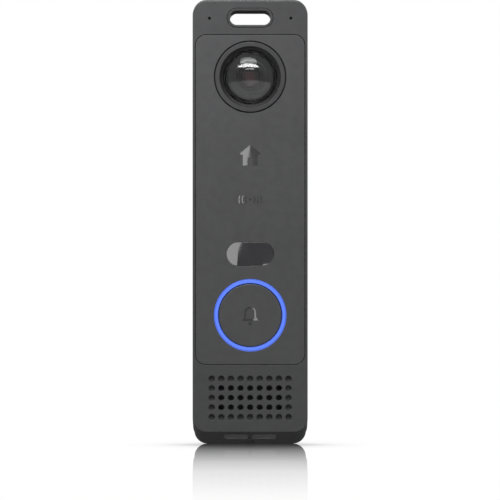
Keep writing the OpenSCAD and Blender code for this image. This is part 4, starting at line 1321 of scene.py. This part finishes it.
def mirror_share(f):
    """Share of the floor that mirrors: in front of the object, where it is seen from low down."""
    reach = 0.5
    split = f.tree.nodes.new("ShaderNodeSeparateXYZ")
    f.link(f.place, split.inputs[0])
    ramp = f.tree.nodes.new("ShaderNodeValToRGB")
    ramp.color_ramp.elements.remove(ramp.color_ramp.elements[1])
    for index, (distance, value) in enumerate(MIRROR_FADE):
        stop = ramp.color_ramp.elements[0] if index == 0 else ramp.color_ramp.elements.new(distance / reach)
        stop.position = distance / reach
        stop.color = (value, value, value, 1.0)
    f.link(math_node(f.tree, "MULTIPLY", split.outputs["Y"], -1 / reach, clamp=True), ramp.inputs[0])
    side = remap(f.tree, math_node(f.tree, "ABSOLUTE", split.outputs["X"]), 0.10, 0.04)
    front = remap(f.tree, split.outputs["Y"], 0.004, 0.0)
    view = f.tree.nodes.new("ShaderNodeLayerWeight")
    view.inputs["Blend"].default_value = 0.5
    grazing = remap(f.tree, view.outputs["Facing"], 0.925, 0.937)
    return math_node(f.tree, "MULTIPLY", math_node(f.tree, "MULTIPLY", ramp.outputs[0], side),
                     math_node(f.tree, "MULTIPLY", front, grazing))


def table_top():
    """White surface with a shade under the object and a fading mirror, clear from below."""
    f = Finish("table top", 0.9)
    share = mirror_share(f)
    near = f.tree.nodes.new("ShaderNodeAmbientOcclusion")
    near.inputs["Distance"].default_value = 0.05
    shade = remap(f.tree, near.outputs["AO"], 0.5, 0.95, 0.7, 1.0)
    glow = f.tree.nodes.new("ShaderNodeEmission")
    f.link(shade, glow.inputs["Strength"])
    mirror, both = f.tree.nodes.new("ShaderNodeBsdfGlossy"), f.tree.nodes.new("ShaderNodeMixShader")
    mirror.inputs["Roughness"].default_value = 0.0
    f.link(shade, mirror.inputs["Color"])
    f.link(share, both.inputs[0])
    f.link(glow.outputs[0], both.inputs[1])
    f.link(mirror.outputs[0], both.inputs[2])
    below, open_side = f.tree.nodes.new("ShaderNodeNewGeometry"), f.tree.nodes.new("ShaderNodeMixShader")
    f.link(below.outputs["Backfacing"], open_side.inputs[0])
    f.link(both.outputs[0], open_side.inputs[1])
    f.link(f.tree.nodes.new("ShaderNodeBsdfTransparent").outputs[0], open_side.inputs[2])
    f.link(open_side.outputs[0], f.output.inputs["Surface"])
    f.tree.nodes.remove(f.shader)
    return f.material


def white_floor():
    """Table top under the object, seen by the camera only."""
    half, floor_z = 6.0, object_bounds()[0].z
    mesh = bpy.data.meshes.new("floor")
    mesh.from_pydata([(-half, -half, floor_z), (half, -half, floor_z), (half, half, floor_z),
                      (-half, half, floor_z)], [], [(0, 1, 2, 3)])
    mesh.materials.append(table_top())
    obj = bpy.data.objects.new("floor", mesh)
    bpy.context.scene.collection.objects.link(obj)
    obj.visible_diffuse = obj.visible_glossy = obj.visible_transmission = False


def studio_world():
    """White behind everything; a soft grey room for reflections and bounce."""
    world = bpy.data.worlds.new("studio")
    bpy.context.scene.world = world
    world.use_nodes = True
    tree = world.node_tree
    tree.nodes.clear()
    add, link = tree.nodes.new, tree.links.new
    way = add("ShaderNodeSeparateXYZ")
    link(add("ShaderNodeTexCoord").outputs["Generated"], way.inputs[0])
    low_front = math_node(tree, "MULTIPLY", remap(tree, way.outputs["Z"], -0.2, -0.28),
                          remap(tree, way.outputs["Y"], 0.2, -0.1))
    aside = math_node(tree, "ABSOLUTE", way.outputs["X"])
    low_back = math_node(tree, "MULTIPLY", remap(tree, way.outputs["Z"], 0.02, -0.02),
                         remap(tree, way.outputs["Y"], 0.1, 0.4, 0.0, -0.22))
    low_back = math_node(tree, "MULTIPLY", low_back, remap(tree, aside, 0.7, 0.3))
    room = math_node(tree, "ADD", low_back, math_node(tree, "MULTIPLY_ADD", low_front, 0.45, 0.26))
    level = math_node(tree, "MULTIPLY", remap(tree, way.outputs["Z"], -0.02, 0.0),
                      remap(tree, way.outputs["Z"], 0.3, 0.2))
    behind = math_node(tree, "MULTIPLY", remap(tree, way.outputs["Y"], 0.05, 0.35), level)
    white = math_node(tree, "MAXIMUM", room, behind)
    path = add("ShaderNodeLightPath")
    under = math_node(tree, "MULTIPLY", remap(tree, way.outputs["Z"], 0.1, -0.3, 0.0, 1.5),
                      remap(tree, aside, 0.3, 0.95))
    bounce = math_node(tree, "ADD", under, remap(tree, way.outputs["Z"], -0.5, 0.4, 0.06, 0.2))
    pick, top = add("ShaderNodeMix"), add("ShaderNodeMix")
    link(path.outputs["Is Diffuse Ray"], pick.inputs[0])
    link(white, pick.inputs[2])
    link(bounce, pick.inputs[3])
    link(path.outputs["Is Camera Ray"], top.inputs[0])
    link(pick.outputs[0], top.inputs[2])
    top.inputs[3].default_value = 1.0
    background, out = add("ShaderNodeBackground"), add("ShaderNodeOutputWorld")
    background.inputs["Color"].default_value = (1, 1, 1, 1)
    link(top.outputs[0], background.inputs["Strength"])
    link(background.outputs[0], out.inputs["Surface"])


def soft_light(name, place, aim, size, radiance, roll=0.0, mirrored=True, only=(), shape="RECTANGLE"):
    """Area light of a given brightness, w by h metres, turned to its aim and rolled."""
    data = bpy.data.lights.new(name, "AREA")
    data.shape, data.size, data.size_y = shape, size[0], size[1]
    data.energy = radiance * pi * size[0] * size[1]
    obj = bpy.data.objects.new(name, data)
    bpy.context.scene.collection.objects.link(obj)
    obj.location = place
    turn = (Vector(aim) - Vector(place)).to_track_quat("-Z", "Y").to_matrix().to_4x4()
    obj.rotation_euler = (turn @ Matrix.Rotation(radians(roll), 4, "Z")).to_euler()
    obj.visible_glossy = obj.visible_transmission = mirrored
    obj.visible_camera = False
    if only:
        lit = bpy.data.collections.new(name)
        for mirror in only:
            lit.objects.link(mirror)
        obj.light_linking.receiver_collection = lit
    return obj


def studio_lights(marks):
    """Two cards that only the marks see, boxes above, and fills round the sides."""
    soft_light("left card", (-0.504, -2.1, 0.076), (-0.504, 0, 0.076), (1.0, 1.6), 5.7, -6.47, only=marks)
    soft_light("low right card", (0.393, -2.1, -0.6), (0.393, 0, -0.6), (0.78, 1.1), 5.0, only=marks)
    soft_light("top box", (-0.15, -1.15, 1.2), (0, 0, 0.06), (2.3, 0.36), 10.4, shape="ELLIPSE")
    soft_light("high box", (-0.1, -0.6, 1.25), (0, 0, 0.06), (1.3, 0.7), 1.9, shape="ELLIPSE")
    soft_light("near left fill", (-0.1, -0.13, 0.16), (0, -0.03, 0.09), (0.1, 0.1), 5.8, mirrored=False)
    soft_light("back box", (0.3, 1.8, 1.2), (0, 0, 0), (1.6, 1.2), 9.0, mirrored=False)
    soft_light("right fill", (1.9, 0.6, 0.6), (0, 0, 0), (1.2, 1.4), 1.2, mirrored=False)
    soft_light("left fill", (-1.9, 0.6, 0.7), (0, 0, 0), (1.2, 1.4), 1.2, mirrored=False)


def portrait_camera():
    """Level camera far in front, slightly below the middle of the face."""
    far, field, below = 1.92, 0.23025, 0.01543
    data = bpy.data.cameras.new("camera")
    data.sensor_width = 36.0
    data.lens = data.sensor_width * far / field
    obj = bpy.data.objects.new("camera", data)
    bpy.context.scene.collection.objects.link(obj)
    obj.location = (-0.00007, -FRONT * MM - far, -below)
    obj.rotation_euler = (pi / 2, 0, 0)
    data.clip_start, data.clip_end = 0.05, 30.0
    bpy.context.scene.camera = obj
    bpy.context.scene.view_settings.view_transform = "Standard"


def build():
    paint_kept_nodes()
    front_housing()
    front_panel()
    slot_liner()
    rear_housing()
    camera_bezel()
    camera_dome()
    camera_mask()
    lens_barrel()
    lens_front()
    marks = [*inlays(), sensor_window()]
    light_ring()
    button_cap()
    bottom_panes()
    wall_plate()
    screws()
    network_socket()
    ring_leds()
    button_pad()
    speaker_surround()
    white_floor()
    studio_world()
    studio_lights(marks)
    portrait_camera()


build()
